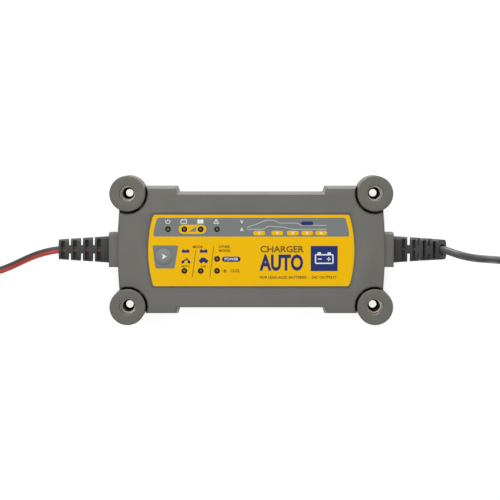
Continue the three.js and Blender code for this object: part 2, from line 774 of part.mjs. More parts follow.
function addMainBoard() {
  const floor = mainBoardTop + touch;
  const sinkY = mainBoardHalfWidth - sink.inset;
  piece('main_board', mainBoard(), materials.board);

  const transformer = new THREE.Group();
  transformer.position.set(core.x, 0, floor);
  charger.add(transformer);
  piece('transformer_core', transformerCore(), materials.ferrite, transformer);
  piece('transformer_winding', transformerWinding(), materials.tape, transformer);

  for (const [name, can] of [['mains_capacitor', mainsCan], ['output_capacitor', outputCan]]) {
    piece(name, canCapacitor(can), materials.can).position.set(can.x, can.y, floor);
  }

  piece('heat_sink', heatSink(), materials.aluminium).position.set(sink.x, sinkY, floor);
  for (const [name, x] of devicePlaces) {
    piece(name, powerPackage(), materials.black).position.set(x, sinkY - touch, floor);
  }

  const ring = new THREE.TorusGeometry(choke.radius, choke.wireRadius, 8, 18);
  const chokeRing = piece('output_choke', ring, materials.copper);
  chokeRing.position.set(choke.x, choke.y, floor + choke.wireRadius);
  const fuseBody = piece('mains_fuse', mainsFuse(), materials.glass);
  fuseBody.position.set(fuse.x, fuse.y, floor + fuse.capRadius);

  const mainsTerminal = piece('mains_terminal', terminalBlock(), materials.terminal);
  mainsTerminal.position.set(terminalX, 0, floor);
  const outputTerminal = piece('output_terminal', terminalBlock(), materials.terminal);
  outputTerminal.position.set(-terminalX, 0, floor);
  outputTerminal.rotation.z = Math.PI;

  const linkTop = controlBoardHeight - touch;
  const linkBody = block(
    [-link.halfLength, -link.halfThickness, floor],
    [link.halfLength, link.halfThickness, linkTop],
  );
  piece('board_link', linkBody, materials.black).position.set(controlBoardX, link.y, 0);

  [boardPosts[0], boardPosts[2]].forEach(([x, y], i) => {
    const { radius, height, length } = boardScrewHead;
    const screw = piece(`board_screw_${i + 1}`, turned([
      [0, -length], [boardScrewRadius, -length], [boardScrewRadius, 0], [radius, 0],
      [radius, height - 0.6], [radius - 0.7, height], [0, height],
    ], 12), materials.steel);
    screw.position.set(x, y, mainBoardTop + touch);
  });
}

// ---- strain relief boots ---------------------------------------------------------------

// A boot along +X from the collar's face, with a flange that the case halves grip. It is
// made along +Z, and bend is applied to what it is joined and cut from.
function boot(boreHalfWidth, boreHalfHeight, bend) {
  const lay = (geometry) => bend(geometry.rotateZ(Math.PI / 2).rotateY(Math.PI / 2));
  const halfWidthAt = (share) => (
    THREE.MathUtils.lerp(bootBaseHalfWidth, bootTipHalfWidth, share)
  );
  const halfHeightAt = (share) => (
    THREE.MathUtils.lerp(bootBaseHalfHeight, bootTipHalfHeight, share)
  );
  const stations = 6;
  const rings = [];
  for (let i = 0; i <= stations; i += 1) {
    const share = i / stations;
    const section = roundedRectangle(halfWidthAt(share), halfHeightAt(share), 3).getPoints(2);
    rings.push(raise(section, share * bootLength));
  }
  const neckEnd = flangeFace - bootBase;
  const neck = block(
    [-neckHalfWidth, -neckHalfHeight, neckEnd - 1],
    [neckHalfWidth, neckHalfHeight, 1],
  );
  const flange = block(
    [-flangeHalfWidth, -flangeHalfHeight, neckEnd - flangeThickness],
    [flangeHalfWidth, flangeHalfHeight, neckEnd],
  );
  const boreStart = neckEnd - flangeThickness - 1;
  const bore = new THREE.ExtrudeGeometry(
    roundedRectangle(boreHalfWidth, boreHalfHeight, boreHalfHeight * 0.98),
    { depth: bootLength + 1 - boreStart, bevelEnabled: false, curveSegments: 2, steps: 8 },
  ).translate(0, 0, boreStart);
  const mouth = extrude(
    roundedRectangle(
      boreHalfWidth + bootMouth.margin, boreHalfHeight + bootMouth.margin, boreHalfHeight,
    ),
    bootMouth.depth + 1,
    2,
  ).translate(0, 0, bootLength - bootMouth.depth);
  const slots = [];
  for (let i = 0; i < bootSlotCount; i += 1) {
    const low = bootFirstSlot + bootSlotPitch * i;
    const across = i % 2 === 0 ? halfWidthAt(low / bootLength) - bootSideWall : 20;
    const web = i % 2 === 0 ? boreHalfHeight - 0.2 : Math.max(boreHalfWidth, 3) - 0.2;
    for (const side of [1, -1]) slots.push(slotBlock(side, across, web, low, i % 2 === 1));
  }
  return combine(lay(loft(rings)), [lay(neck), lay(flange)], [bore, mouth, ...slots].map(lay));
}

// One slot of a boot that stands along +Z: from its top or bottom, or from one side.
function slotBlock(side, across, web, low, fromTheSide) {
  const reach = [web * side, 20 * side].sort((a, b) => a - b);
  const high = low + (fromTheSide ? bootSideSlot : bootFaceSlot);
  return fromTheSide
    ? block([reach[0], -across, low], [reach[1], across, high])
    : block([-across, reach[0], low], [across, reach[1], high]);
}

// Turns what lies beyond the start of the mains boot's bend up towards +Z, along an arc.
function bendUp(geometry) {
  const radius = (bootLength - mainsBendStart) / mainsBendAngle;
  const position = geometry.attributes.position;
  for (let i = 0; i < position.count; i += 1) {
    const turn = (position.getX(i) - mainsBendStart) / radius;
    if (turn > 0) {
      const reach = radius - position.getZ(i);
      position.setX(i, mainsBendStart + reach * Math.sin(turn));
      position.setZ(i, radius - reach * Math.cos(turn));
    }
  }
  return geometry;
}

function addBoots() {
  const mainsBore = mainsDiameter / 2 + touch;
  const mainsBoot = piece('mains_lead_boot', boot(mainsBore, mainsBore, bendUp), materials.boot);
  mainsBoot.position.set(bootBase, 0, cableHeight);
  const battery = boot(twinWidth / 2 + touch, twinThickness / 2 + touch, (geometry) => geometry);
  const batteryBoot = piece('battery_lead_boot', battery, materials.boot);
  batteryBoot.position.set(-bootBase, 0, cableHeight);
  batteryBoot.rotation.z = Math.PI;
}

// ---- cables -------------------------------------------------------------------------------

const mainsRoute = [
  [terminalFace + 4, 0, 25], [92, 0, 25], [103, 0, 25], [108.7, 0, 25], [115.6, 0, 25.5],
  [122.3, 0, 27], [128.7, 0, 29.4], [134.7, -0.1, 32.8], [139, -1, 35.2], [144, -2.7, 36.9],
  [149, -4.2, 37], [154.5, -5.4, 35], [160, -6.3, 31], [165.5, -7, 24.5], [170.5, -7.6, 17],
  [175.5, -8.2, 10.5], [181.5, -9, 5.8], [189, -10, 3.4], [197, -10.8, 3], [205, -11.2, 3],
];
const batteryRoute = [
  [-terminalFace - 4, 0, 25], [-90, 0, 25], [-105, 0, 25], [-122, 0, 25], [-135.5, -0.2, 24.8],
  [-146.5, -2.2, 22.8], [-156.5, -5.6, 16.5], [-166, -10, 8.5], [-174, -13.6, 3.8],
  [-184, -17, 1.8], [-196.5, -18.8, 1.7],
];
const redWireRoute = [
  [-189.3, -14.6, 6.6], [-189.3, -9, 6.4], [-189.6, -2, 6.2], [-191.2, 3, 6.2],
  [-194.8, 5.6, 6.2], [-200.6, 6, 6.2],
];
const blackWireRoute = [
  [-186.1, -14.6, 6.6], [-186, -6, 5.5], [-185.6, 8, 4.4], [-185.6, 20, 4.4],
  [-186.8, 28.5, 5], [-190.4, 33.4, 5.8], [-195, 34.9, 6.2], [-200.6, 35, 6.2],
];

function oval(halfAcross, halfUp, sides) {
  const points = [];
  for (let i = 0; i < sides; i += 1) {
    const angle = (i / sides) * 2 * Math.PI;
    points.push(new THREE.Vector2(halfAcross * Math.cos(angle), halfUp * Math.sin(angle)));
  }
  return new THREE.Shape(points);
}

function cable(route, section, steps) {
  const path = new THREE.CatmullRomCurve3(route.map((point) => new THREE.Vector3(...point)));
  return new THREE.ExtrudeGeometry(section, { steps, bevelEnabled: false, extrudePath: path });
}

// The outer shape of a flat coil that lies on the ground.
function coilRing(coil, cableWidth, cableThickness) {
  const half = (coil.columns * cableWidth) / 2 + touch;
  const low = 0.2;
  const high = low + coil.layers * cableThickness + touch;
  const edge = cableThickness / 3;
  const [inner, outer] = [coil.radius - half, coil.radius + half];
  return turned([
    [inner + edge, low], [outer - edge, low], [outer, low + edge], [outer, high - edge],
    [outer - edge, high], [inner + edge, high], [inner, high - edge], [inner, low + edge],
    [inner + edge, low],
  ], 30);
}

function addCables() {
  const mainsSection = oval(mainsDiameter / 2, mainsDiameter / 2, 8);
  piece('mains_lead', cable(mainsRoute, mainsSection, 22), materials.cable);
  const mainsRing = coilRing(mainsCoil, mainsDiameter, mainsDiameter);
  piece('mains_lead_coil', mainsRing, materials.cable).position.set(mainsCoil.x, mainsCoil.y, 0);

  const twinSection = oval(twinThickness / 2, twinWidth / 2, 8);
  piece('battery_lead', cable(batteryRoute, twinSection, 20), materials.cable);
  const twinRing = coilRing(twinCoil, twinWidth, twinThickness);
  piece('battery_lead_coil', twinRing, materials.cable).position.set(twinCoil.x, twinCoil.y, 0);

  const wireSection = oval(clampWireDiameter / 2, clampWireDiameter / 2, 8);
  piece('red_clamp_wire', cable(redWireRoute, wireSection, 6), materials.redCable);
  piece('black_clamp_wire', cable(blackWireRoute, wireSection, 12), materials.black);
  const sleeve = extrude(roundedRectangle(3.6, 2.4, 1.5), 10, 3).rotateX(-Math.PI / 2);
  piece('splitter_sleeve', sleeve, materials.black).position.set(-187.7, -25, 6.6);
}

// ---- mains plug -----------------------------------------------------------------------------

function plugBody() {
  const half = plugHalfWidth;
  const waist = half - plugShoulder.waist;
  const [tail, front] = [plugTailLength, plugTailLength + plugLength];
  const upper = [
    [front, half - 1], [front - 1, half], [tail + plugShoulder.last, half],
    [tail + plugShoulder.first, waist], [tail, plugTailHalf], [0, plugTailHalf],
  ];
  const lower = upper.map(([x, y]) => [x, -y]).reverse();
  const shape = new THREE.Shape([...lower, ...upper].map(([x, y]) => new THREE.Vector2(x, y)));
  const body = extrude(shape, plugThickness);
  const shaved = [-1, 1].map((side) => block(
    [-1, -half, side > 0 ? plugThickness / 2 + plugTailHalf : -1],
    [tail, half, side > 0 ? plugThickness + 1 : plugThickness / 2 - plugTailHalf],
  ));
  const sockets = [-1, 1].map((side) => block(
    [front - pinSeat, side * pinSpacing / 2 - pinRadius - touch,
      plugThickness / 2 - pinRadius - touch],
    [front + 1, side * pinSpacing / 2 + pinRadius + touch,
      plugThickness / 2 + pinRadius + touch],
  ));
  return combine(body, [], [...shaved, ...sockets]);
}

function plugPin() {
  return turned([
    [0, 0], [pinRadius, 0], [pinRadius, pinLength - 1], [pinRadius - 0.9, pinLength],
    [0, pinLength],
  ], 12).rotateY(Math.PI / 2);
}

function addPlug() {
  const plug = new THREE.Group();
  plug.position.set(plugX, plugY, 0.2);
  plug.rotation.z = plugTurn;
  charger.add(plug);
  piece('mains_plug_body', plugBody(), materials.blackPlastic, plug);
  [-1, 1].forEach((side, i) => {
    const pin = piece(`mains_plug_pin_${i + 1}`, plugPin(), materials.brass, plug);
    const start = plugTailLength + plugLength - pinSeat + touch;
    pin.position.set(start, (side * pinSpacing) / 2, plugThickness / 2);
  });
}

// ---- battery clamps ----------------------------------------------------------------------------

// One half of a clamp, above the jaw line, with its jaw towards -X and its pivot at the origin.
function clampHalf(bands) {
  const line = touch / 2;
  const flare = (clampHalfWidth - 4) / clampHandle;
  const shape = new THREE.Shape();
  shape.moveTo(-clampJaw, line);
  shape.lineTo(-clampJaw + 4, line);
  shape.quadraticCurveTo(-clampJaw + 11, 7.5, -9, line);
  shape.lineTo(0, line);
  shape.lineTo(clampHandle, flare * clampHandle);
  shape.lineTo(clampHandle, clampHalfWidth);
  shape.quadraticCurveTo(clampHandle * 0.5, clampHalfWidth * 0.72, 4, 8);
  shape.quadraticCurveTo(-8, 9.5, -18, 8.4);
  shape.quadraticCurveTo(-clampJaw + 2, 7, -clampJaw, 3);
  shape.closePath();
  const body = extrude(shape, clampHeight, 5);
  const clearance = rod(clampKnuckle + touch, -1, clampHeight + 1, 0, 0, 16);
  const knuckles = bands.flatMap(([low, high]) => [
    rod(clampKnuckle, low, high, 0, 0, 16),
    block([-2.5, 0, low], [2.5, 7.4, high]),
  ]);
  const hollowed = combine(body, [], [clearance]);
  return combine(hollowed, knuckles, [
    rod(clampPinRadius + touch, -1, clampHeight + 1, 0, 0, 12),
  ]);
}

function clampSpring() {
  const low = knuckleBand[1] + touch;
  const high = clampHeight * 0.78 - touch;
  const inner = clampPinRadius + touch;
  const coil = turned([
    [inner, low], [inner + 1.2, low], [inner + 1.2, high], [inner, high], [inner, low],
  ], 16);
  const flare = Math.atan2(clampHalfWidth - 4, clampHandle);
  const legs = [1, -1].map((side) => (
    block([2.4, -0.5, low], [14, 0.5, low + 1])
      .translate(0, side * -0.8, 0)
      .rotateZ(side * flare)
      .translate(0, side * -0.5, side > 0 ? 0 : high - low - 1)
  ));
  return combine(coil, legs, []);
}

function addClamp(color, y, surface) {
  const clamp = new THREE.Group();
  clamp.position.set(clampX, y, 0.2);
  charger.add(clamp);
  const outerBands = [[0, knuckleBand[0] - touch], [clampHeight * 0.78, clampHeight]];
  const fixed = clampHalf(outerBands).rotateX(Math.PI).translate(0, 0, clampHeight);
  piece(`${color}_clamp_fixed_half`, fixed, surface, clamp);
  piece(`${color}_clamp_moving_half`, clampHalf([knuckleBand]), surface, clamp);
  piece(`${color}_clamp_spring`, clampSpring(), materials.steel, clamp);
  const pin = rod(clampPinRadius, 0.1, clampHeight - 0.1, 0, 0, 12);
  piece(`${color}_clamp_pin`, pin, materials.steel, clamp);
}

// ---- assembly ------------------------------------------------------------------------------------

addCase();
addBumpers();
addControls();
addMainBoard();
addBoots();
addCables();
addPlug();
addClamp('red', redClampY, materials.redPlastic);
addClamp('black', blackClampY, materials.blackPlastic);

export default charger;
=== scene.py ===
import json
import math

import bmesh
import bpy
from mathutils import Matrix, Vector


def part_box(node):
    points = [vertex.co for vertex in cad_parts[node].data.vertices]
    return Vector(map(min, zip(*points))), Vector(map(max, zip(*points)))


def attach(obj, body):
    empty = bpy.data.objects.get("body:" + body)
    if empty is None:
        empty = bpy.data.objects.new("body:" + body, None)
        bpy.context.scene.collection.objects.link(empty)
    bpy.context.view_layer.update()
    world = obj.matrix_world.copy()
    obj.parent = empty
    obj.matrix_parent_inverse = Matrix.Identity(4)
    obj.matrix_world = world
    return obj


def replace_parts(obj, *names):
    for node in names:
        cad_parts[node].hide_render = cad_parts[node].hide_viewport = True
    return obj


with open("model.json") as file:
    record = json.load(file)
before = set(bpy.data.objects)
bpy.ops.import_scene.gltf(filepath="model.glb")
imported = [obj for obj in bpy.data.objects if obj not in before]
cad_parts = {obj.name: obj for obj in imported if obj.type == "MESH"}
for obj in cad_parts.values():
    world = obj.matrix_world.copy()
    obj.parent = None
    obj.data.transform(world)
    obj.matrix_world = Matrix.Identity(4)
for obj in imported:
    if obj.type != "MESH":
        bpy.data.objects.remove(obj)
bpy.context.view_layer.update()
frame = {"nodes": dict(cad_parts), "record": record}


# ---- Case halves -------------------------------------------------------------------
# Two injection-moulded shells of glass-filled nylon, warm grey, with a spark-eroded
# grain. They meet half way up, and the front one's upper edges are eased.

MM = 0.001


def linear(hex_colour):
    """An sRGB hex colour as the linear colour that a shader takes."""
    channels = [int(hex_colour[i:i + 2], 16) / 255 for i in (1, 3, 5)]
    return [c / 12.92 if c <= 0.04045 else ((c + 0.055) / 1.055) ** 2.4 for c in channels] + [1]


def add_node(material, kind, inputs, **settings):
    """Adds a shader node, sets it, and links or sets its inputs."""
    node = material.node_tree.nodes.new(kind)
    for name, value in settings.items():
        setattr(node, name, value)
    for name, value in inputs.items():
        if isinstance(value, bpy.types.NodeSocket):
            material.node_tree.links.new(value, node.inputs[name])
        else:
            node.inputs[name].default_value = value
    return node


CLOUD_SIZE = 14
GLOSS_SPREAD = 0.07


def moulded(name, dark, light, roughness, grain, depth, metallic=0.0, glare=0.5):
    """A surface with a fine grain, in millimetres, and a faint cloudiness between two colours."""
    # the grains are drawn coarser than the real ones, so that they show
    material = bpy.data.materials.new(name)
    material.use_nodes = True
    links = material.node_tree.links
    shader = material.node_tree.nodes["Principled BSDF"]
    shader.inputs["Metallic"].default_value = metallic
    shader.inputs["Specular IOR Level"].default_value = glare
    place = add_node(material, "ShaderNodeTexCoord", {}).outputs["Object"]
    if dark == light:
        shader.inputs["Base Color"].default_value = linear(dark)
    else:
        clouds = add_node(material, "ShaderNodeTexNoise",
                          {"Vector": place, "Scale": 1 / (CLOUD_SIZE * MM), "Detail": 4})
        tint = add_node(material, "ShaderNodeMix", {"Factor": clouds.outputs["Fac"]},
                        data_type="RGBA")
        tint.inputs[6].default_value = linear(dark)
        tint.inputs[7].default_value = linear(light)
        links.new(tint.outputs[2], shader.inputs["Base Color"])
    fine = add_node(material, "ShaderNodeTexNoise",
                    {"Vector": place, "Scale": 1 / (grain * MM), "Detail": 2})
    bump = add_node(material, "ShaderNodeBump",
                    {"Height": fine.outputs["Fac"], "Distance": depth * MM})
    sheen = add_node(material, "ShaderNodeMapRange", {"Value": fine.outputs["Fac"]})
    sheen.inputs["To Min"].default_value = roughness - GLOSS_SPREAD
    sheen.inputs["To Max"].default_value = roughness + GLOSS_SPREAD
    links.new(sheen.outputs["Result"], shader.inputs["Roughness"])
    links.new(bump.outputs["Normal"], shader.inputs["Normal"])
    return material


WELD = 0.004
FLAT_WITHIN = 0.5


def copy_of(node):
    """A closed copy of a frame node's mesh, with its flat faces whole."""
    mesh = bmesh.new()
    mesh.from_mesh(frame["nodes"][node].data)
    bmesh.ops.remove_doubles(mesh, verts=mesh.verts, dist=WELD * MM)
    bmesh.ops.dissolve_limit(mesh, angle_limit=math.radians(FLAT_WITHIN), verts=mesh.verts,
                             edges=mesh.edges)
    return mesh


SHORTEST_EASED = 0.3


def ease(mesh, radius, low=-1.0, high=1.0, sharper_than=28):
    """Rounds the sharp edges that lie wholly between two heights."""
    edges = [
        edge for edge in mesh.edges
        if edge.is_manifold and edge.calc_face_angle() > math.radians(sharper_than)
        and edge.calc_length() > SHORTEST_EASED * MM
        and all(low < vertex.co.z < high for vertex in edge.verts)
    ]
    bmesh.ops.bevel(mesh, geom=edges, offset=radius, offset_type="OFFSET", affect="EDGES",
                    segments=3, profile=0.5, clamp_overlap=True, material=-1)


def make_piece(mesh, name, body, material, smooth_below=40):
    """Makes a bmesh the shown piece of that name, on its body and in its material."""
    data = bpy.data.meshes.new(name)
    mesh.to_mesh(data)
    mesh.free()
    data.shade_smooth()
    data.set_sharp_from_angle(angle=math.radians(smooth_below))
    data.materials.append(material)
    piece = bpy.data.objects.new(name, data)
    bpy.context.collection.objects.link(piece)
    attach(piece, body)
    return piece


COVER_EASE = 0.3
COVER_EASE_FROM, COVER_EASE_TO = 44, 49.1

# the eroded grain scatters light, so the case is matt with one broad soft highlight
case_nylon = moulded("spark-eroded glass-filled nylon", "#5f5e59", "#676660", 0.52, 0.9, 0.05)
for node in ("front_cover", "back_cover"):
    shell = copy_of(node)
    if node == "front_cover":
        ease(shell, COVER_EASE * MM, COVER_EASE_FROM * MM, COVER_EASE_TO * MM)
    piece = make_piece(shell, node + "_shell", "root", case_nylon, 24)
    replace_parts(piece, node)


# ---- Corner bumpers ------------------------------------------------------------------
# Solid nylon posts, moulded apart and studded into the corners, with a stepped hole for
# a wall screw. A steel cup lines the head well, pale as painted light; a black washer
# narrows the neck and a black cord fills the groove behind the post, both painted shade.

POLE_WELD = 0.002


def spun(outline, sides, x=0.0, y=0.0):
    """A solid of revolution about an upright line, from a closed outline in millimetres."""
    mesh = bmesh.new()
    points = [mesh.verts.new((radius * MM, 0, height * MM)) for radius, height in outline]
    ring = [mesh.edges.new(pair) for pair in zip(points, points[1:] + points[:1])]
    bmesh.ops.spin(mesh, geom=points + ring, cent=(0, 0, 0), axis=(0, 0, 1), angle=2 * math.pi,
                   steps=sides, use_merge=True)
    bmesh.ops.remove_doubles(mesh, verts=mesh.verts, dist=POLE_WELD * MM)
    bmesh.ops.recalc_face_normals(mesh, faces=mesh.faces)
    bmesh.ops.translate(mesh, verts=mesh.verts, vec=(x, y, 0))
    return mesh


def arc(centre_radius, centre_height, radius, start, end, steps=5):
    """Points of a rounded edge, by its centre and its angles in degrees."""
    angles = [math.radians(start + (end - start) * i / steps) for i in range(steps + 1)]
    return [(centre_radius + radius * math.cos(a), centre_height + radius * math.sin(a))
            for a in angles]


BUMPER_RADIUS = 12.6
BUMPER_HEIGHT = 50.0
BUMPER_EDGE = 0.8
HEAD_BORE, HEAD_SEAT, HEAD_EDGE = 5.45, 28.0, 0.5
WASHER_BORE, WASHER_SEAT = 4.3, 6.0
SCREW_BORE = 3.0
bumper_outline = [
    (SCREW_BORE, 0.0),
    *arc(BUMPER_RADIUS - BUMPER_EDGE, BUMPER_EDGE, BUMPER_EDGE, -90, 0),
    *arc(BUMPER_RADIUS - BUMPER_EDGE, BUMPER_HEIGHT - BUMPER_EDGE, BUMPER_EDGE, 0, 90),
    *arc(HEAD_BORE + HEAD_EDGE, BUMPER_HEIGHT - HEAD_EDGE, HEAD_EDGE, 90, 180),
    (HEAD_BORE, HEAD_SEAT), (WASHER_BORE, HEAD_SEAT), (WASHER_BORE, WASHER_SEAT),
    (SCREW_BORE, WASHER_SEAT),
]
STUD_HEIGHTS = (13, 37)
# each step of a stud: its radius, and where it starts and ends from the post's middle
STUD_STEPS = ((3.0, 11.5, 17.7), (4.5, 17.7, 19.7))
# outlines of what lines the hole and the groove, as radius and height
SCREW_CUP = [(4.35, 28.05), (5.4, 28.05), (5.4, 44), (5.15, 44), (5.15, 28.5), (4.35, 28.5)]
NECK_WASHER = [(2.65, 6.02), (4.25, 6.02), (4.25, 6.62), (2.65, 6.62)]
SHADE_CORD = [(12.62, 24), (13.08, 24), (13.08, 26), (12.62, 26)]
CORD_START = 4.5  # from the post's middle, towards the case

# rougher than the case, so its highlight is weaker
bumper_nylon = moulded("spark-eroded nylon, bumper", "#5c5b55", "#67665f", 0.6, 0.9, 0.05)
# the cup's pale warm colour is painted light: it stands in for the lit wall of the head well, and
# the half metal adds a soft gleam
sleeve_painted_light = moulded("drawn steel cup, painted pale light", "#e6dacd", "#efe4d8", 0.4, 0.6, 0.01,
                       metallic=0.5)
# painted shade: the cord and washer are nearly black and without shine, so the groove and the neck
# read as shaded
shade_foam = moulded("black cord, painted shade", "#161616", "#1e1e1e", 0.9, 0.7, 0.08)
for i in range(1, 5):
    low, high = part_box(f"corner_bumper_{i}")
    # the studs reach inwards, so the round body is the part that stands furthest out
    x = (high[0] if high[0] + low[0] > 0 else low[0])
    y = (high[1] if high[1] + low[1] > 0 else low[1])
    x -= math.copysign(BUMPER_RADIUS * MM, x)
    y -= math.copysign(BUMPER_RADIUS * MM, y)
    body = spun(bumper_outline, 96, x, y)
    inward = Vector((-math.copysign(1, x), -math.copysign(1, y), 0)).normalized()
    turn = inward.to_track_quat("Z", "Y").to_matrix().to_4x4()
    for height in STUD_HEIGHTS:
        for radius, start, end in STUD_STEPS:
            middle = Vector((x, y, height * MM)) + inward * (start + end) / 2 * MM
            bmesh.ops.create_cone(body, cap_ends=True, segments=24, radius1=radius * MM,
                                  radius2=radius * MM, depth=(end - start) * MM,
                                  matrix=Matrix.Translation(middle) @ turn)
    piece = make_piece(body, f"corner_bumper_{i}_post", "root", bumper_nylon)
    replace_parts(piece, f"corner_bumper_{i}")
    # a steel cup whose pale colour paints the head well's wall as lit
    cup = spun(SCREW_CUP, 48, x, y)
    make_piece(cup, f"screw_cup_{i}", "root", sleeve_painted_light)
    washer = spun(NECK_WASHER, 48, x, y)
    make_piece(washer, f"neck_washer_{i}", "root", shade_foam)
    # painted shade: a black cord in the groove, cut back to the side towards the case
    cord = spun(SHADE_CORD, 72, x, y)
    outside = [v for v in cord.verts
               if (v.co - Vector((x, y, v.co.z))).dot(inward) < CORD_START * MM]
    bmesh.ops.delete(cord, geom=outside, context="VERTS")
    bmesh.ops.holes_fill(cord, edges=cord.edges, sides=4)
    make_piece(cord, f"shade_cord_{i}", "root", shade_foam)


# ---- Label overlay -------------------------------------------------------------------
# A polycarbonate film, printed from behind in yellow and satin in front, stuck in a
# shallow pocket. Its inks are flat layers a few hundredths of a millimetre thick.

INK = 0.03
INK_LIFT = 0.01
ink_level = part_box("label_overlay")[1][2] / MM + INK_LIFT

# the colour lies behind the film, so it is even, and the satin face adds a faint shine
label_film = moulded("satin polycarbonate film, yellow", "#e9b400", "#efba00", 0.34, 0.5, 0.01,
                     glare=0.06)
film = copy_of("label_overlay")
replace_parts(make_piece(film, "label_film", "root", label_film, 30), "label_overlay")


def circle(x, y, radius, sides=28):
    angles = [2 * math.pi * i / sides for i in range(sides)]
    return [(x + radius * math.cos(a), y + radius * math.sin(a)) for a in angles]


CAPITAL = 0.7  # a capital's height over the font's size
PRINT_WELD = 0.0005


class Ink:
    """One colour of print, gathered as flat shapes in millimetres and made one piece."""

    def __init__(self, name, colour, layer=0):
        self.name = name
        self.colour = colour
        self.level = ink_level + layer * INK
        self.mesh = bmesh.new()

    def loop(self, points):
        """A closed run of edges through points."""
        corners = [self.mesh.verts.new((x * MM, y * MM, self.level * MM)) for x, y in points]
        return [self.mesh.edges.new(pair) for pair in zip(corners, corners[1:] + corners[:1])]

    def polygon(self, points, holes=()):
        """A flat shape, with round holes as (x, y, radius)."""
        edges = self.loop(points)
        for x, y, radius in holes:
            edges += self.loop(circle(x, y, radius))
        bmesh.ops.triangle_fill(self.mesh, use_beauty=True, edges=edges)

    def box(self, x, y, width, height):
        a, b = width / 2, height / 2
        self.polygon([(x - a, y - b), (x + a, y - b), (x + a, y + b), (x - a, y + b)])

    def line(self, start, end, width):
        along = Vector(end) - Vector(start)
        side = Vector((-along.y, along.x)).normalized() * width / 2
        a, b = Vector(start), Vector(end)
        self.polygon([a - side, b - side, b + side, a + side])

    def trace(self, points, width):
        for start, end in zip(points, points[1:]):
            self.line(start, end, width)

    def pill(self, x, y, width, height, holes=()):
        half = height / 2
        reach = width / 2 - half
        right = [math.radians(-90 + 180 * i / 8) for i in range(9)]
        points = [(x + reach + half * math.cos(a), y + half * math.sin(a)) for a in right]
        points += [(x - reach - half * math.cos(a), y - half * math.sin(a)) for a in right]
        self.polygon(points, holes)

    def disc(self, x, y, radius):
        self.polygon(circle(x, y, radius, 20))

    def words(self, text, x, y, height, width=None, weight=0.03):
        """Upright lettering of that height, centred, drawn out to the width if one is given."""
        curve = bpy.data.curves.new("lettering", "FONT")
        curve.body = text
        curve.size = height / CAPITAL
        curve.align_x = "CENTER"
        curve.align_y = "CENTER"
        curve.resolution_u = 3
        curve.offset = weight * height
        letters = bpy.data.objects.new("lettering", curve)
        flat = bpy.data.meshes.new_from_object(letters)
        span = max(v.co.x for v in flat.vertices) - min(v.co.x for v in flat.vertices)
        stretch = width / span if width else 1.0
        flat.transform(Matrix.Translation((x * MM, y * MM, self.level * MM))
                       @ Matrix.Diagonal((stretch * MM, MM, MM, 1)))
        self.mesh.from_mesh(flat)
        bpy.data.objects.remove(letters)
        bpy.data.meshes.remove(flat)

    def dry(self):
        """Gives the print its thickness and makes it a piece."""
        bmesh.ops.remove_doubles(self.mesh, verts=self.mesh.verts, dist=PRINT_WELD * MM)
        raised = bmesh.ops.extrude_face_region(self.mesh, geom=list(self.mesh.faces),
                                               use_keep_orig=True)
        tops = [v for v in raised["geom"] if isinstance(v, bmesh.types.BMVert)]
        bmesh.ops.translate(self.mesh, verts=tops, vec=(0, 0, INK * MM))
        bmesh.ops.recalc_face_normals(self.mesh, faces=self.mesh.faces)
        # cured ink is nearly as smooth as the film, with a weak shine
        surface = moulded(f"screen ink, {self.name}", self.colour, self.colour, 0.4, 0.5, 0.004,
                          glare=0.1)
        return make_piece(self.mesh, f"{self.name}_print", "root", surface, 30)


lights = {}
for name in ("power", "charging", "charged", "fault", "supply", "motorcycle", "car", "winter"):
    low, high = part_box(f"led_{name}")
    lights[name] = ((low[0] + high[0]) / 2 / MM, (low[1] + high[1]) / 2 / MM)
LIGHT_ROW = lights["power"][1]

WELL = 2.12
KEY_HOLE = 6.04
top_wells = [(*lights[name], WELL) for name in ("power", "charging", "charged", "fault")]
button_low, button_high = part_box("mode_button")
button_x, button_y = ((button_low[k] + button_high[k]) / 2 / MM for k in (0, 1))

grey = Ink("grey", "#767c7b")
grey.polygon([(-68.6, 9.8), (68.6, 9.8), (68.2, 14.5), (66.2, 22.2), (65.2, 22.9),
              (-65.2, 22.9), (-66.2, 22.2), (-68.2, 14.5)], top_wells)
grey.polygon([(-66.6, -12.6), (-54.6, -12.6), (-53.7, -11.9), (-51.2, 2.9), (-51.9, 3.6),
              (-68.3, 3.6), (-69.1, 2.9), (-67.4, -11.9)], [(button_x, button_y, KEY_HOLE)])
grey.dry()

yellow = Ink("yellow", "#e9b400", layer=1)
yellow.pill(-41.2, LIGHT_ROW, 19.4, 6.4, top_wells[1:3])
STAGES = (5.6, 18.2, 29.05, 39.2, 49.0)
STAGE_ROW = 12.25
for x in STAGES:
    yellow.pill(x, STAGE_ROW, 8.4, 3.15)
yellow.dry()

white = Ink("white", "#e6e8e6", layer=2)
for x in STAGES:
    white.disc(x, STAGE_ROW, 0.75)
FINE_LINE = 0.45
ICON_ROW = 20.2
EMPTY_CELL, FULL_CELL, ALERT, SWITCH = -47.25, -35.7, -24.5, -58.45
SWITCH_RADIUS = 1.5
for x in (EMPTY_CELL, FULL_CELL):
    if x == EMPTY_CELL:
        white.trace([(x - 2, 19), (x + 2, 19), (x + 2, 21.4), (x - 2, 21.4), (x - 2, 19)],
                    FINE_LINE)
    else:
        white.box(x, ICON_ROW, 4.2, 2.6)
    white.box(x - 1.2, 21.8, 0.9, 0.5)
    white.box(x + 1.2, 21.8, 0.9, 0.5)
white.trace([(-26.3, 18.9), (-22.7, 18.9), (ALERT, 22), (-26.3, 18.9)], FINE_LINE)
white.box(ALERT, ICON_ROW, 0.4, 1.1)
white.trace([(SWITCH + SWITCH_RADIUS * math.sin(math.radians(a)),
              ICON_ROW + SWITCH_RADIUS * math.cos(math.radians(a)))
             for a in range(35, 330, 20)], FINE_LINE)
white.box(SWITCH, 21.2, FINE_LINE, 1.8)
UNIT_COLUMN = -6.65
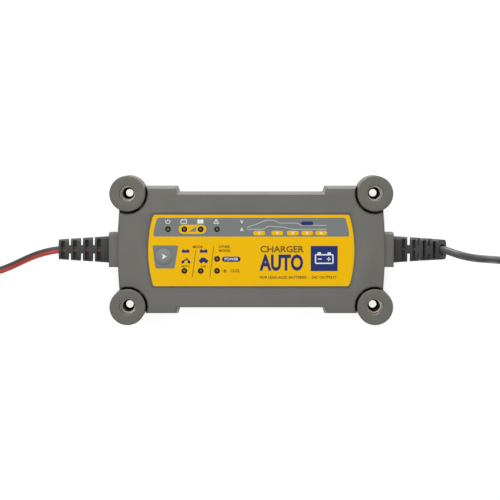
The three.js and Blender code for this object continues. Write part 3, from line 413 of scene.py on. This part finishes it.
white.words("V", UNIT_COLUMN, 19.95, 2.4)
white.words("A", UNIT_COLUMN, 14.6, 2.4)
white.dry()

wedge = Ink("wedge", "#787e7d", layer=2)
wedge.polygon([(-43.9, 13.2), (-38.6, 13.2), (-38.6, 16.8)])
wedge.dry()

chart = Ink("chart", "#c9cdcc", layer=1)
VOLTAGE = [(-3, 16.2), (4, 18.6), (10, 21.2), (15.5, 21.2), (20, 19.2), (32, 19.2), (35, 17.6),
           (52.8, 17.6)]
CHART_LINE = 0.35
CURRENT = [(-3, 14.9), (8, 14.9), (12, 17.0), (22, 16.4), (29, 14.9), (52.8, 14.9)]
chart.trace(VOLTAGE, CHART_LINE)
chart.trace(CURRENT, CHART_LINE)
chart.dry()

blue = Ink("blue", "#22306a", layer=1)
blue.pill(39.2, 19.0, 8.6, 2.7)
blue.box(51.1, -5.6, 18.9, 17.6)
blue.pill(-14.0, -6.1, 13.0, 3.6)
blue.words("AUTO", 21.4, -9.1, 10.4, 30.6, 0.055)
for x in (-46.0, -33.4):
    blue.box(x, -0.6, 5.4, 1.8)
    blue.box(x - 1.6, 0.6, 1.0, 0.6)
    blue.box(x + 1.6, 0.6, 1.0, 0.6)
for x in (-48.0, -43.6):
    blue.disc(x, -8.1, 1.05)
blue.trace([(-48, -8.1), (-46.6, -6.6), (-44.6, -6.6), (-43.6, -8.1)], 0.8)
blue.trace([(-44.6, -6.6), (-45.2, -5.4), (-46.1, -5.3)], 0.6)
blue.polygon([(-36.6, -8.0), (-30.2, -8.0), (-30.2, -6.7), (-31.4, -6.3), (-32.4, -5.0),
              (-35.0, -5.0), (-35.9, -6.3), (-36.6, -6.6)])
for x in (-35.0, -31.8):
    blue.disc(x, -8.2, 0.85)
blue.dry()

pale = Ink("pale", "#dfe3ea", layer=2)
pale.words("POWER", -14.0, -6.1, 1.9, 9.6)
pale.trace([(45, -9.0), (57.2, -9.0), (57.2, -3.0), (45, -3.0), (45, -9.0)], 0.9)
pale.box(47.6, -1.9, 2.4, 1.3)
pale.box(54.6, -1.9, 2.4, 1.3)
pale.box(48.0, -6.0, 2.8, 0.7)
pale.box(54.3, -6.0, 2.8, 0.7)
pale.box(54.3, -6.0, 0.7, 2.8)
pale.dry()

brown = Ink("brown", "#6f5320", layer=1)
LEADER = 0.4
SMALL, TINY = 1.7, 1.3
brown.trace([(-38.85, 0.35), (-41.3, -18.55)], LEADER)
brown.trace([(-26.25, 3.15), (-29.05, -18.55)], LEADER)
brown.words("CHARGER", 21.4, 0.7, 4.3, 30.6, 0.035)
brown.words("FOR LEAD-ACID BATTERIES", 22.4, -18.9, SMALL, 32.6)
brown.words("DC OUTPUT", 51.1, -18.9, SMALL, 17.5)
brown.words("MODE", -37.5, 2.5, SMALL)
brown.words("OTHER", -18.9, 2.5, SMALL)
brown.words("MODES", -18.7, -0.2, SMALL)
brown.words("MOTO", -46.0, -11.2, TINY)
brown.words("CAR", -33.6, -11.2, TINY)
brown.words("COOL", -11.2, -14.35, 2.1, 6.6)
snowflake = Vector((-18.55, -14.35))
for a in (0, 60, 120):
    reach = Vector((math.cos(math.radians(a)), math.sin(math.radians(a)))) * 1.5
    brown.line(snowflake - reach, snowflake + reach, LEADER)
brown.dry()


# ---- Indicator lights and mode button ----------------------------------------------------
# Clear 3 mm lights stand in dark wells just below the film. The key is a soft grey
# polycarbonate dome that presses a tact switch half a millimetre down.

# smooth epoxy: small sharp highlights over a dim, warm inside
lens = moulded("clear epoxy, unlit", "#6c675c", "#6c675c", 0.12, 0.6, 0.001)
lens_shader = lens.node_tree.nodes["Principled BSDF"]
lens_shader.inputs["Coat Weight"].default_value = 0.6
lens_shader.inputs["IOR"].default_value = 1.53
LENS_RADIUS, RIM_RADIUS = 1.5, 1.7
SHOULDER, RIM = 4.2, 4.6  # below the lens's tip
for name, (x, y) in lights.items():
    low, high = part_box(f"led_{name}")
    base, top = low[2] / MM, high[2] / MM
    outline = [(0.0, base), (RIM_RADIUS, base), (RIM_RADIUS, top - RIM),
               (LENS_RADIUS, top - SHOULDER), *arc(0, top - LENS_RADIUS, LENS_RADIUS, 0, 90, 8)]
    light = make_piece(spun(outline, 32, x * MM, y * MM), f"{name}_light", "root", lens)
    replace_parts(light, f"led_{name}")

stem, dome = button_low[2] / MM, button_high[2] / MM
KEY_RADIUS, KEY_EDGE, KEY_RISE = 6.0, 0.4, 0.55
STEM_RADIUS = 1.8
FLANGE_RADIUS, FLANGE_THICKNESS = 7.4, 1
FLANGE_SEAT, CLEARANCE = 46.0, 0.3
face = dome - KEY_RISE
flange_top = FLANGE_SEAT - CLEARANCE
flange_back = flange_top - FLANGE_THICKNESS
button_outline = [
    (0.0, stem), (STEM_RADIUS, stem), (STEM_RADIUS, flange_back), (FLANGE_RADIUS, flange_back),
    (FLANGE_RADIUS, flange_top), (KEY_RADIUS, flange_top),
    *arc(KEY_RADIUS - KEY_EDGE, face - KEY_EDGE, KEY_EDGE, 0, 60, 4),
    (4.3, dome - 0.2), (2.1, dome - 0.05), (0.0, dome),
]
# satin film: even grey with a weak, wide shine
button_film = moulded("satin polycarbonate, grey", "#7b807e", "#838886", 0.4, 0.6, 0.01, glare=0.15)
key = make_piece(spun(button_outline, 64, button_x * MM, button_y * MM), "mode_key", "mode_button",
                 button_film, 50)
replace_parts(key, "mode_button")

ARROW_SINK = 0.02
arrow = Ink("arrow", "#e6e8e6")
arrow.level = dome - ARROW_SINK
arrow.polygon([(button_x - 1.3, button_y - 2.0), (button_x + 2.3, button_y),
               (button_x - 1.3, button_y + 2.0), (button_x - 0.4, button_y)])
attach(arrow.dry(), "mode_button")


# ---- Boards and power electronics ---------------------------------------------------------
# Everything inside is hidden by the case, so the frame's own solids are kept and given
# the finish of the real parts: solder mask, ferrite, copper, aluminium and steel.

inner_finishes = {
    # lacquer over glass cloth: smooth, dark and slightly glossy
    "board": moulded("solder mask, green", "#1b5535", "#22633f", 0.4, 0.8, 0.02),
    # fired powder: dark and dry, with no highlight
    "ferrite": moulded("sintered ferrite", "#37383b", "#424346", 0.8, 0.4, 0.05),
    # thin film over wire: satin, warm yellow
    "winding_tape": moulded("polyester winding tape", "#d0aa30", "#dcb840", 0.4, 1.2, 0.02),
    # lacquered copper: a warm metal shine, broken up by the turns
    "copper_wire": moulded("enamelled copper", "#a65c28", "#bb6f36", 0.3, 0.9, 0.1, 0.9),
    # bare extrusion: an even, pale metal shine
    "aluminium": moulded("extruded aluminium", "#a0a2a4", "#b0b2b4", 0.38, 0.5, 0.02, 1.0),
    # shrunk tight: smooth, with long clean highlights
    "can_sleeve": moulded("shrunk PVC sleeve", "#1f3058", "#253a68", 0.3, 1.0, 0.01),
    # plain moulding: even green, half matt
    "terminal_plastic": moulded("polyamide terminal", "#2a7245", "#34824f", 0.5, 0.7, 0.02),
    # glass over pale sand: light and glossy
    "fuse_glass": moulded("fuse glass and sand", "#c9c9c0", "#d8d8d0", 0.2, 0.8, 0.01),
    # bright zinc: a clean, slightly soft metal shine
    "zinc_steel": moulded("zinc-plated steel", "#aeb0b3", "#bfc1c4", 0.32, 0.4, 0.01, 1.0),
    # nickel over brass: warmer and brighter than zinc
    "plated_brass": moulded("nickel-plated brass", "#c4bfae", "#d0cbbb", 0.25, 0.5, 0.005, 1.0),
    # plain moulding: deep black with a soft highlight
    "black_plastic": moulded("black ABS", "#1d1d1f", "#242427", 0.42, 0.7, 0.03),
    # moulded silicone: dark and nearly matt
    "seal_rubber": moulded("silicone seal", "#333334", "#3c3c3d", 0.7, 0.8, 0.03),
    # drawn jacket: smooth, with a long thin highlight
    "cable_rubber": moulded("black PVC jacket", "#454446", "#504f51", 0.3, 0.8, 0.02),
    # drawn insulation: a little duller than the jacket
    "red_cable": moulded("red PVC insulation", "#b03a33", "#bf4840", 0.4, 0.8, 0.02),
    # plain moulding: strong red with a soft highlight
    "red_plastic": moulded("red ABS", "#ad241d", "#ba2c24", 0.36, 0.7, 0.02),
    # soft elastomer: matt, with dull edges
    "boot_rubber": moulded("black TPE boot", "#2b2b2c", "#363637", 0.55, 0.7, 0.05),
}
slots = {part["node"]: part["material_slot"] for part in frame["record"]["subparts"]}
for node, slot in slots.items():
    if slot in inner_finishes:
        mesh = frame["nodes"][node].data
        mesh.materials.clear()
        mesh.materials.append(inner_finishes[slot])


# ---- Strain relief boots --------------------------------------------------------------------
# Overmoulded thermoplastic elastomer, slotted from the sides and faces in turn so that
# it bends evenly. The mains boot is set in an upward curve.

BOOT_EASE = 0.25
for node in ("mains_lead_boot", "battery_lead_boot"):
    boot = copy_of(node)
    ease(boot, BOOT_EASE * MM, sharper_than=50)
    piece = make_piece(boot, node + "_moulding", "root", inner_finishes["boot_rubber"],
                       35)
    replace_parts(piece, node)


# ---- Mains lead and plug ----------------------------------------------------------------------
# A round PVC-jacketed lead of 5.6 mm. It rises out of its boot, comes down to the ground,
# and is wound up in a coil held by two nylon ties, with the moulded plug beside it.

def smooth(points, steps=8):
    """A smooth line through points, by Catmull-Rom spans."""
    ends = [2 * points[0] - points[1], *points, 2 * points[-1] - points[-2]]
    line = []
    for a, b, c, d in zip(ends, ends[1:], ends[2:], ends[3:]):
        for i in range(steps):
            t = i / steps
            line.append(0.5 * (2 * b + (c - a) * t + (2 * a - 5 * b + 4 * c - d) * t ** 2
                               + (3 * b - 3 * c + d - a) * t ** 3))
    return line + [points[-1]]


def coil_turns(centre, start, turns, way, radii, low, pitch, layers):
    """The wound stretch: in to the inner column, up it, out, and down the outer column."""
    inner, outer = radii
    places = [(outer, 0)] + [(inner, k) for k in range(layers)]
    places += [(outer, k) for k in range(layers - 1, 0, -1)]
    shift, stagger, early = 50 / 360, 30 / 360, 0.06
    steps = 24
    points = []
    for i in range(int(turns * steps) + 1):
        t = i / steps
        radius, layer = places[0]
        for k, (next_radius, next_layer) in enumerate(places[1:]):
            done = (t - (1 - early + k * (1 - stagger) - shift)) / shift
            share = min(max(done, 0), 1)
            share = share * share * (3 - 2 * share)
            before = places[k]
            radius += (next_radius - before[0]) * share
            layer += (next_layer - before[1]) * share
        angle = math.radians(start) + way * 2 * math.pi * t
        points.append(Vector((centre[0] + radius * math.cos(angle),
                              centre[1] + radius * math.sin(angle), low + pitch * layer)))
    return points


def metres(points):
    return [Vector(point) * MM for point in points]


def round_cable(name, line, diameter, material):
    """A round cable along a line in metres, as one open spline."""
    curve = bpy.data.curves.new(name, "CURVE")
    curve.dimensions = "3D"
    curve.bevel_depth = diameter / 2 * MM
    curve.bevel_resolution = 5
    curve.use_fill_caps = True
    spline = curve.splines.new("POLY")
    spline.points.add(len(line) - 1)
    for point, place in zip(spline.points, line):
        point.co = (*place, 1)
    spline.use_smooth = True
    curve.materials.append(material)
    cable = bpy.data.objects.new(name, curve)
    bpy.context.collection.objects.link(cable)
    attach(cable, "root")
    return cable


MAINS_DIAMETER = 5.6
mains_route = [
    (78, 0, 25), (92, 0, 25), (103, 0, 25), (108.7, 0, 25), (115.6, 0, 25.5),
    (122.3, 0, 27), (128.7, 0, 29.4), (134.7, -0.1, 32.8), (139, -1, 35.2), (144, -2.7, 36.9),
    (149, -4.2, 37), (154.5, -5.4, 35), (160, -6.3, 31), (165.5, -7, 24.5), (170.5, -7.6, 17),
    (175.5, -8.2, 10.5), (181.5, -9, 5.8), (189, -10, 3.4), (197, -10.8, 3), (205, -11.2, 3),
    (214, -11.2, 3),
]
MAINS_COIL_MIDDLE = (226, -45.8)
mains_coil = coil_turns(MAINS_COIL_MIDDLE, 93, 6.883, -1, (29.2, 34.8), 3.0, MAINS_DIAMETER, 4)
mains_end = [(206.5, -16.2, 9.2), (211.5, -11.2, 9.4), (215, -7.6, 8.0), (218.7, -3.9, 7.1)]
mains_points = [Vector(p) for p in mains_route] + mains_coil + [Vector(p) for p in mains_end]
mains_line = metres(smooth(mains_points, 3))
mains_lead = round_cable("mains_cable", mains_line, MAINS_DIAMETER,
                         inner_finishes["cable_rubber"])
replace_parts(mains_lead, "mains_lead", "mains_lead_coil")
PLUG_EASE = 0.9
plug = copy_of("mains_plug_body")
ease(plug, PLUG_EASE * MM)
plug_moulding = make_piece(plug, "mains_plug_moulding", "root", inner_finishes["black_plastic"])
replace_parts(plug_moulding, "mains_plug_body")


TIE_THICKNESS, TIE_WIDTH, TIE_EASE = 0.8, 3.2, 0.25
TIE_HEAD = (5.2, 4.6, 3)
TIE_HEAD_RISE = 1.6


def tie(name, centre, angle, inner, outer, top):
    """A nylon strap round a coil's turns, with its head on top."""
    strap = bmesh.new()
    edges = []
    for grow in (TIE_THICKNESS, 0):
        foot = TIE_THICKNESS - grow
        corners = [(inner - grow, foot), (outer + grow, foot), (outer + grow, top + grow),
                   (inner - grow, top + grow)]
        verts = [strap.verts.new((r * MM, -TIE_WIDTH / 2 * MM, z * MM)) for r, z in corners]
        edges += [strap.edges.new(pair) for pair in zip(verts, verts[1:] + verts[:1])]
    bmesh.ops.triangle_fill(strap, use_beauty=True, edges=edges)
    raised = bmesh.ops.extrude_face_region(strap, geom=list(strap.faces), use_keep_orig=True)
    far = [v for v in raised["geom"] if isinstance(v, bmesh.types.BMVert)]
    bmesh.ops.translate(strap, verts=far, vec=(0, TIE_WIDTH * MM, 0))
    head = Matrix.Translation(((inner + outer) / 2 * MM, 0, (top + TIE_HEAD_RISE) * MM))
    head_size = Matrix.Diagonal((*(size * MM for size in TIE_HEAD), 1))
    bmesh.ops.create_cube(strap, size=1, matrix=head @ head_size)
    bmesh.ops.recalc_face_normals(strap, faces=strap.faces)
    ease(strap, TIE_EASE * MM)
    turn = Matrix.Rotation(math.radians(angle), 4, "Z")
    place = Matrix.Translation((centre[0] * MM, centre[1] * MM, 0))
    bmesh.ops.transform(strap, matrix=place @ turn, verts=strap.verts)
    make_piece(strap, name, "root", inner_finishes["black_plastic"], 30)


tie("mains_coil_tie_1", MAINS_COIL_MIDDLE, -20, 26.4, 37.6, 22.6)
tie("mains_coil_tie_2", MAINS_COIL_MIDDLE, 200, 26.4, 37.6, 22.6)


# ---- Battery lead and splitter --------------------------------------------------------------
# Two insulated wires bonded side by side, red and black, in a flat twin lead. A sleeve
# parts them into the two single wires that end in the clamps, and a tie holds the coil.

LOBE_REACH = 128  # degrees to each side of a wire's outermost point


def lobed_section(half_width, half_height, sides):
    """The outline of two bonded wires, as (across, up) pairs in millimetres."""
    reach = half_width - half_height
    points = []
    for side in (1, -1):
        for i in range(sides):
            angle = math.radians(-LOBE_REACH + 2 * LOBE_REACH * i / (sides - 1))
            across = reach + half_height * math.cos(angle)
            points.append((side * across, side * half_height * math.sin(angle)))
    return points


TWIN_WIDTH = 5.2
TWIN_THICKNESS = 2.8
twin_route = [
    (-78, 0, 25), (-90, 0, 25), (-105, 0, 25), (-122, 0, 25), (-135.5, -0.2, 24.8),
    (-146.5, -2.2, 22.8), (-156.5, -5.6, 16.5), (-166, -10, 8.5), (-174, -13.6, 3.8),
    (-184, -17, 1.8), (-196.5, -18.8, 1.7), (-204.5, -18.9, 1.7),
]
TWIN_COIL_MIDDLE = (-212, -43)
twin_coil = coil_turns(TWIN_COIL_MIDDLE, 90, 10.75, 1, (18.9, 24.1), 1.7, TWIN_THICKNESS, 6)
twin_end = [(-187.8, -36, 5.2), (-187.7, -29, 6.4), (-187.7, -23, 6.6)]
twin_points = [Vector(p) for p in twin_route] + twin_coil + [Vector(p) for p in twin_end]
twin_line = metres(smooth(twin_points, 2))

section = lobed_section(TWIN_WIDTH / 2, TWIN_THICKNESS / 2, 9)
twin = bmesh.new()
rings = []
for i, place in enumerate(twin_line):
    ahead = (twin_line[min(i + 1, len(twin_line) - 1)] - twin_line[max(i - 1, 0)]).normalized()
    across = Vector((0, 0, 1)).cross(ahead).normalized()
    up = ahead.cross(across)
    rings.append([twin.verts.new(place + across * a * MM + up * b * MM) for a, b in section])
for ring, following in zip(rings, rings[1:]):
    for i in range(len(section)):
        j = (i + 1) % len(section)
        wall = twin.faces.new((ring[i], ring[j], following[j], following[i]))
        wall.material_index = 0 if i < len(section) // 2 else 1
for ring in (rings[0], rings[-1]):
    twin.faces.new(ring)
bmesh.ops.recalc_face_normals(twin, faces=twin.faces)
twin_lead = make_piece(twin, "twin_cable", "root", inner_finishes["red_cable"], 60)
twin_lead.data.materials.append(inner_finishes["cable_rubber"])
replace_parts(twin_lead, "battery_lead", "battery_lead_coil")

tie("battery_coil_tie", TWIN_COIL_MIDDLE, 200, 16.3, 26.7, 17.1)


# ---- Battery clamps ------------------------------------------------------------------------------
# Moulded ABS halves that turn on a steel pin, with thumb ribs on the handles and a
# toothed, plated strip pressed into each mouth. A wound spring sits round the pin, with
# one leg on each half.

CLAMP_LOW, CLAMP_HIGH = 1.7, 10.7
HANDLE = [Vector(p) for p in ((38, 13), (19, 9.36), (4, 8))]
MOUTH = [Vector(p) for p in ((-25, 0.15), (-18, 7.5), (-9, 0.15))]
HANDLE_TURN = math.atan2(8.85, 38)  # of a handle's inner face from the jaw line
SPRING_RADIUS, SPRING_WIRE, SPRING_TURNS = 2.5, 0.8, 4
LEG_SIZE = (9.6, 0.36, 0.9)
LEG_MIDDLE, LEG_INSET, LEG_EASE = 8, 0.12, 0.1
LEG_FROM_END = 0.5
RIB_COUNT, RIB_START, RIB_PITCH = 8, 0.08, 0.09  # along the handle, as shares of it
RIB_FOOT, RIB_TOP, RIB_SINK, RIB_RISE = 0.6, 0.35, 0.5, 0.7
TOOTH_STEPS, STRIP_START, STRIP_SHARE = 16, 0.06, 0.88
STRIP_BACK, TOOTH_VALLEY, TOOTH_TIP = 0.1, 0.6, 1.3


def on_bend(bend, t):
    """A point on a quadratic bend and the way it runs there."""
    a, b, c = bend
    place = a * (1 - t) ** 2 + b * 2 * t * (1 - t) + c * t ** 2
    way = ((b - a) * (1 - t) + (c - b) * t).normalized()
    return place, way


def raised_shape(mesh, corners, side, pin):
    """Stands a flat outline up on a clamp half, which lies on one side of its jaw line."""
    verts = [mesh.verts.new(((pin[0] + x) * MM, (pin[1] + y * side) * MM, CLAMP_LOW * MM))
             for x, y in corners]
    face = mesh.faces.new(verts)
    raised = bmesh.ops.extrude_face_region(mesh, geom=[face], use_keep_orig=True)
    tops = [v for v in raised["geom"] if isinstance(v, bmesh.types.BMVert)]
    bmesh.ops.translate(mesh, verts=tops, vec=(0, 0, (CLAMP_HIGH - CLAMP_LOW) * MM))


def wound_coil(centre, low, high, radius, wire, turns):
    """A close-wound coil of round wire on an upright line, with its ends capped."""
    coil = bmesh.new()
    steps = 24 * turns
    start = Matrix.Translation((centre[0] * MM + radius * MM, centre[1] * MM,
                                (low + wire / 2) * MM))
    section = bmesh.ops.create_circle(coil, radius=wire / 2 * MM, segments=10,
                                      matrix=start @ Matrix.Rotation(math.pi / 2, 4, "X"))
    edges = list({edge for vertex in section["verts"] for edge in vertex.link_edges})
    bmesh.ops.spin(coil, geom=section["verts"] + edges, cent=(centre[0] * MM, centre[1] * MM, 0),
                   axis=(0, 0, 1), dvec=(0, 0, (high - low - wire) * MM / steps),
                   angle=2 * math.pi * turns, steps=steps)
    bmesh.ops.holes_fill(coil, edges=coil.edges, sides=10)
    bmesh.ops.recalc_face_normals(coil, faces=coil.faces)
    return coil


def spring_leg(pin, side, middle):
    """The flattened end of the spring wire, along the inner face of one handle."""
    leg = bmesh.new()
    place = Matrix.Translation((pin[0] * MM, pin[1] * MM, middle * MM))
    turn = Matrix.Rotation(side * HANDLE_TURN, 4, "Z")
    shift = Matrix.Translation((LEG_MIDDLE * MM, -side * LEG_INSET * MM, 0))
    size = Matrix.Diagonal((*(length * MM for length in LEG_SIZE), 1))
    bmesh.ops.create_cube(leg, size=1, matrix=place @ turn @ (shift @ size))
    ease(leg, LEG_EASE * MM)
    return leg


clamp_springs = {}
for colour, finish in (("red", "red_plastic"), ("black", "black_plastic")):
    low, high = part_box(f"{colour}_clamp_pin")
    pin = [(low[k] + high[k]) / 2 / MM for k in (0, 1)]
    foot, top = (corner[2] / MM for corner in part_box(f"{colour}_clamp_spring"))
    steel = inner_finishes["zinc_steel"]
    coil = make_piece(wound_coil(pin, foot, top, SPRING_RADIUS, SPRING_WIRE, SPRING_TURNS),
                      f"{colour}_spring_coil", "root", steel)
    legs = [
        make_piece(spring_leg(pin, side, middle), f"{colour}_spring_{half}_leg", body, steel)
        for half, side, body, middle in (
            ("moving", 1, f"{colour}_clamp_jaw", foot + LEG_FROM_END),
            ("fixed", -1, "root", top - LEG_FROM_END))
    ]
    clamp_springs[colour] = [coil, *legs]
    for spring_piece in clamp_springs[colour]:
        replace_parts(spring_piece, f"{colour}_clamp_spring")
    for half, side, body in (("moving", 1, f"{colour}_clamp_jaw"), ("fixed", -1, "root")):
        ribs, strip = bmesh.new(), bmesh.new()
        for i in range(RIB_COUNT):
            place, way = on_bend(HANDLE, RIB_START + RIB_PITCH * i)
            out = Vector((-way.y, way.x)) * (-1 if way.x > 0 else 1)
            out = out if out.y > 0 else -out
            raised_shape(ribs, [place - way * RIB_FOOT - out * RIB_SINK,
                                place + way * RIB_FOOT - out * RIB_SINK,
                                place + way * RIB_TOP + out * RIB_RISE,
                                place - way * RIB_TOP + out * RIB_RISE], side, pin)
        backs, tips = [], []
        for i in range(TOOTH_STEPS + 1):
            place, way = on_bend(MOUTH, STRIP_START + STRIP_SHARE * i / TOOTH_STEPS)
            inside = Vector((way.y, -way.x))
            backs.append(place + inside * STRIP_BACK)
            tips.append(place + inside * (TOOTH_TIP if i % 2 else TOOTH_VALLEY))
        raised_shape(strip, backs + tips[::-1], side, pin)
        for mesh in (ribs, strip):
            bmesh.ops.recalc_face_normals(mesh, faces=mesh.faces)
        make_piece(ribs, f"{colour}_{half}_grip_ribs", body, inner_finishes[finish], 30)
        make_piece(strip, f"{colour}_{half}_jaw_strip", body, inner_finishes["plated_brass"],
                   30)


# ---- Clamp wires ---------------------------------------------------------------------------------
# Single insulated wires from the sleeve to each clamp's handle, soldered inside it. They
# lie in easy curves beside the coil.

WIRE_DIAMETER = 2.6
red_route = [
    (-189.3, -16, 6.6), (-189.3, -9, 6.4), (-189.6, -2, 6.2), (-191.2, 3, 6.2), (-194.8, 5.6, 6.2),
    (-202, 6, 6.2),
]
black_route = [
    (-186.1, -16, 6.6), (-186, -6, 5.5), (-185.6, 8, 4.4), (-185.6, 20, 4.4), (-186.8, 28.5, 5),
    (-190.4, 33.4, 5.8), (-195, 34.9, 6.2), (-202, 35, 6.2),
]
for colour, route, slot in (("red", red_route, "red_cable"),
                            ("black", black_route, "cable_rubber")):
    line = metres(smooth([Vector(p) for p in route], 5))
    wire = round_cable(f"{colour}_wire", line, WIRE_DIAMETER, inner_finishes[slot])
    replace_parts(wire, f"{colour}_clamp_wire")


# ---- Floor, light and camera ---------------------------------------------------------------------
# A light table of opal acrylic under broad soft boxes: one overhead, one low behind the
# label's top edge and a weak one in front.

FLOOR_REACH = 3
FLOOR_DROP = 0.02
floor_mesh = bmesh.new()
bmesh.ops.create_grid(floor_mesh, x_segments=1, y_segments=1, size=FLOOR_REACH,
                      matrix=Matrix.Translation((0, 0, -FLOOR_DROP * MM)))
floor_data = bpy.data.meshes.new("floor")
floor_mesh.to_mesh(floor_data)
floor_mesh.free()
# lit opal is an even white that keeps only soft shadows
opal = moulded("opal acrylic, lit from below", "#8c8c8c", "#8e8e8e", 0.9, 2.0, 0.0)
opal_shader = opal.node_tree.nodes["Principled BSDF"]
opal_shader.inputs["Emission Color"].default_value = (1, 1, 1, 1)
opal_shader.inputs["Emission Strength"].default_value = 0.86
floor_data.materials.append(opal)
floor = bpy.data.objects.new("floor", floor_data)
bpy.context.collection.objects.link(floor)


def soft_box(name, place, size, power):
    """A square area light that faces the charger."""
    light = bpy.data.lights.new(name, "AREA")
    light.size = size
    light.energy = power
    box = bpy.data.objects.new(name, light)
    box.location = place
    box.rotation_euler = Vector(place).to_track_quat("Z", "Y").to_euler()
    bpy.context.collection.objects.link(box)


soft_box("overhead", (-0.5, 0.3, 2.2), 1.6, 16)
soft_box("behind", (0.1, 1.5, 0.35), 1.0, 30)
soft_box("front fill", (0.3, -1.6, 1.1), 1.2, 3)

world = bpy.data.worlds.new("studio")
world.use_nodes = True
world.node_tree.nodes["Background"].inputs["Color"].default_value = (1, 1, 1, 1)
world.node_tree.nodes["Background"].inputs["Strength"].default_value = 0.45
bpy.context.scene.world = world
bpy.context.scene.view_settings.view_transform = "Standard"

eye = Vector((0.00014, 0.07245, 2.049))
target = Vector((-0.0009, 0.00035, 0.049))
backwards = (eye - target).normalized()
sideways = Vector((0, 1, 0)).cross(backwards).normalized()
upwards = backwards.cross(sideways)
camera_data = bpy.data.cameras.new("camera")
camera_data.lens = 205.7
camera_data.sensor_width = 36
camera = bpy.data.objects.new("camera", camera_data)
facing = Matrix((sideways, upwards, backwards)).transposed().to_4x4()
camera.matrix_world = Matrix.Translation(eye) @ facing
bpy.context.collection.objects.link(camera)
bpy.context.scene.camera = camera
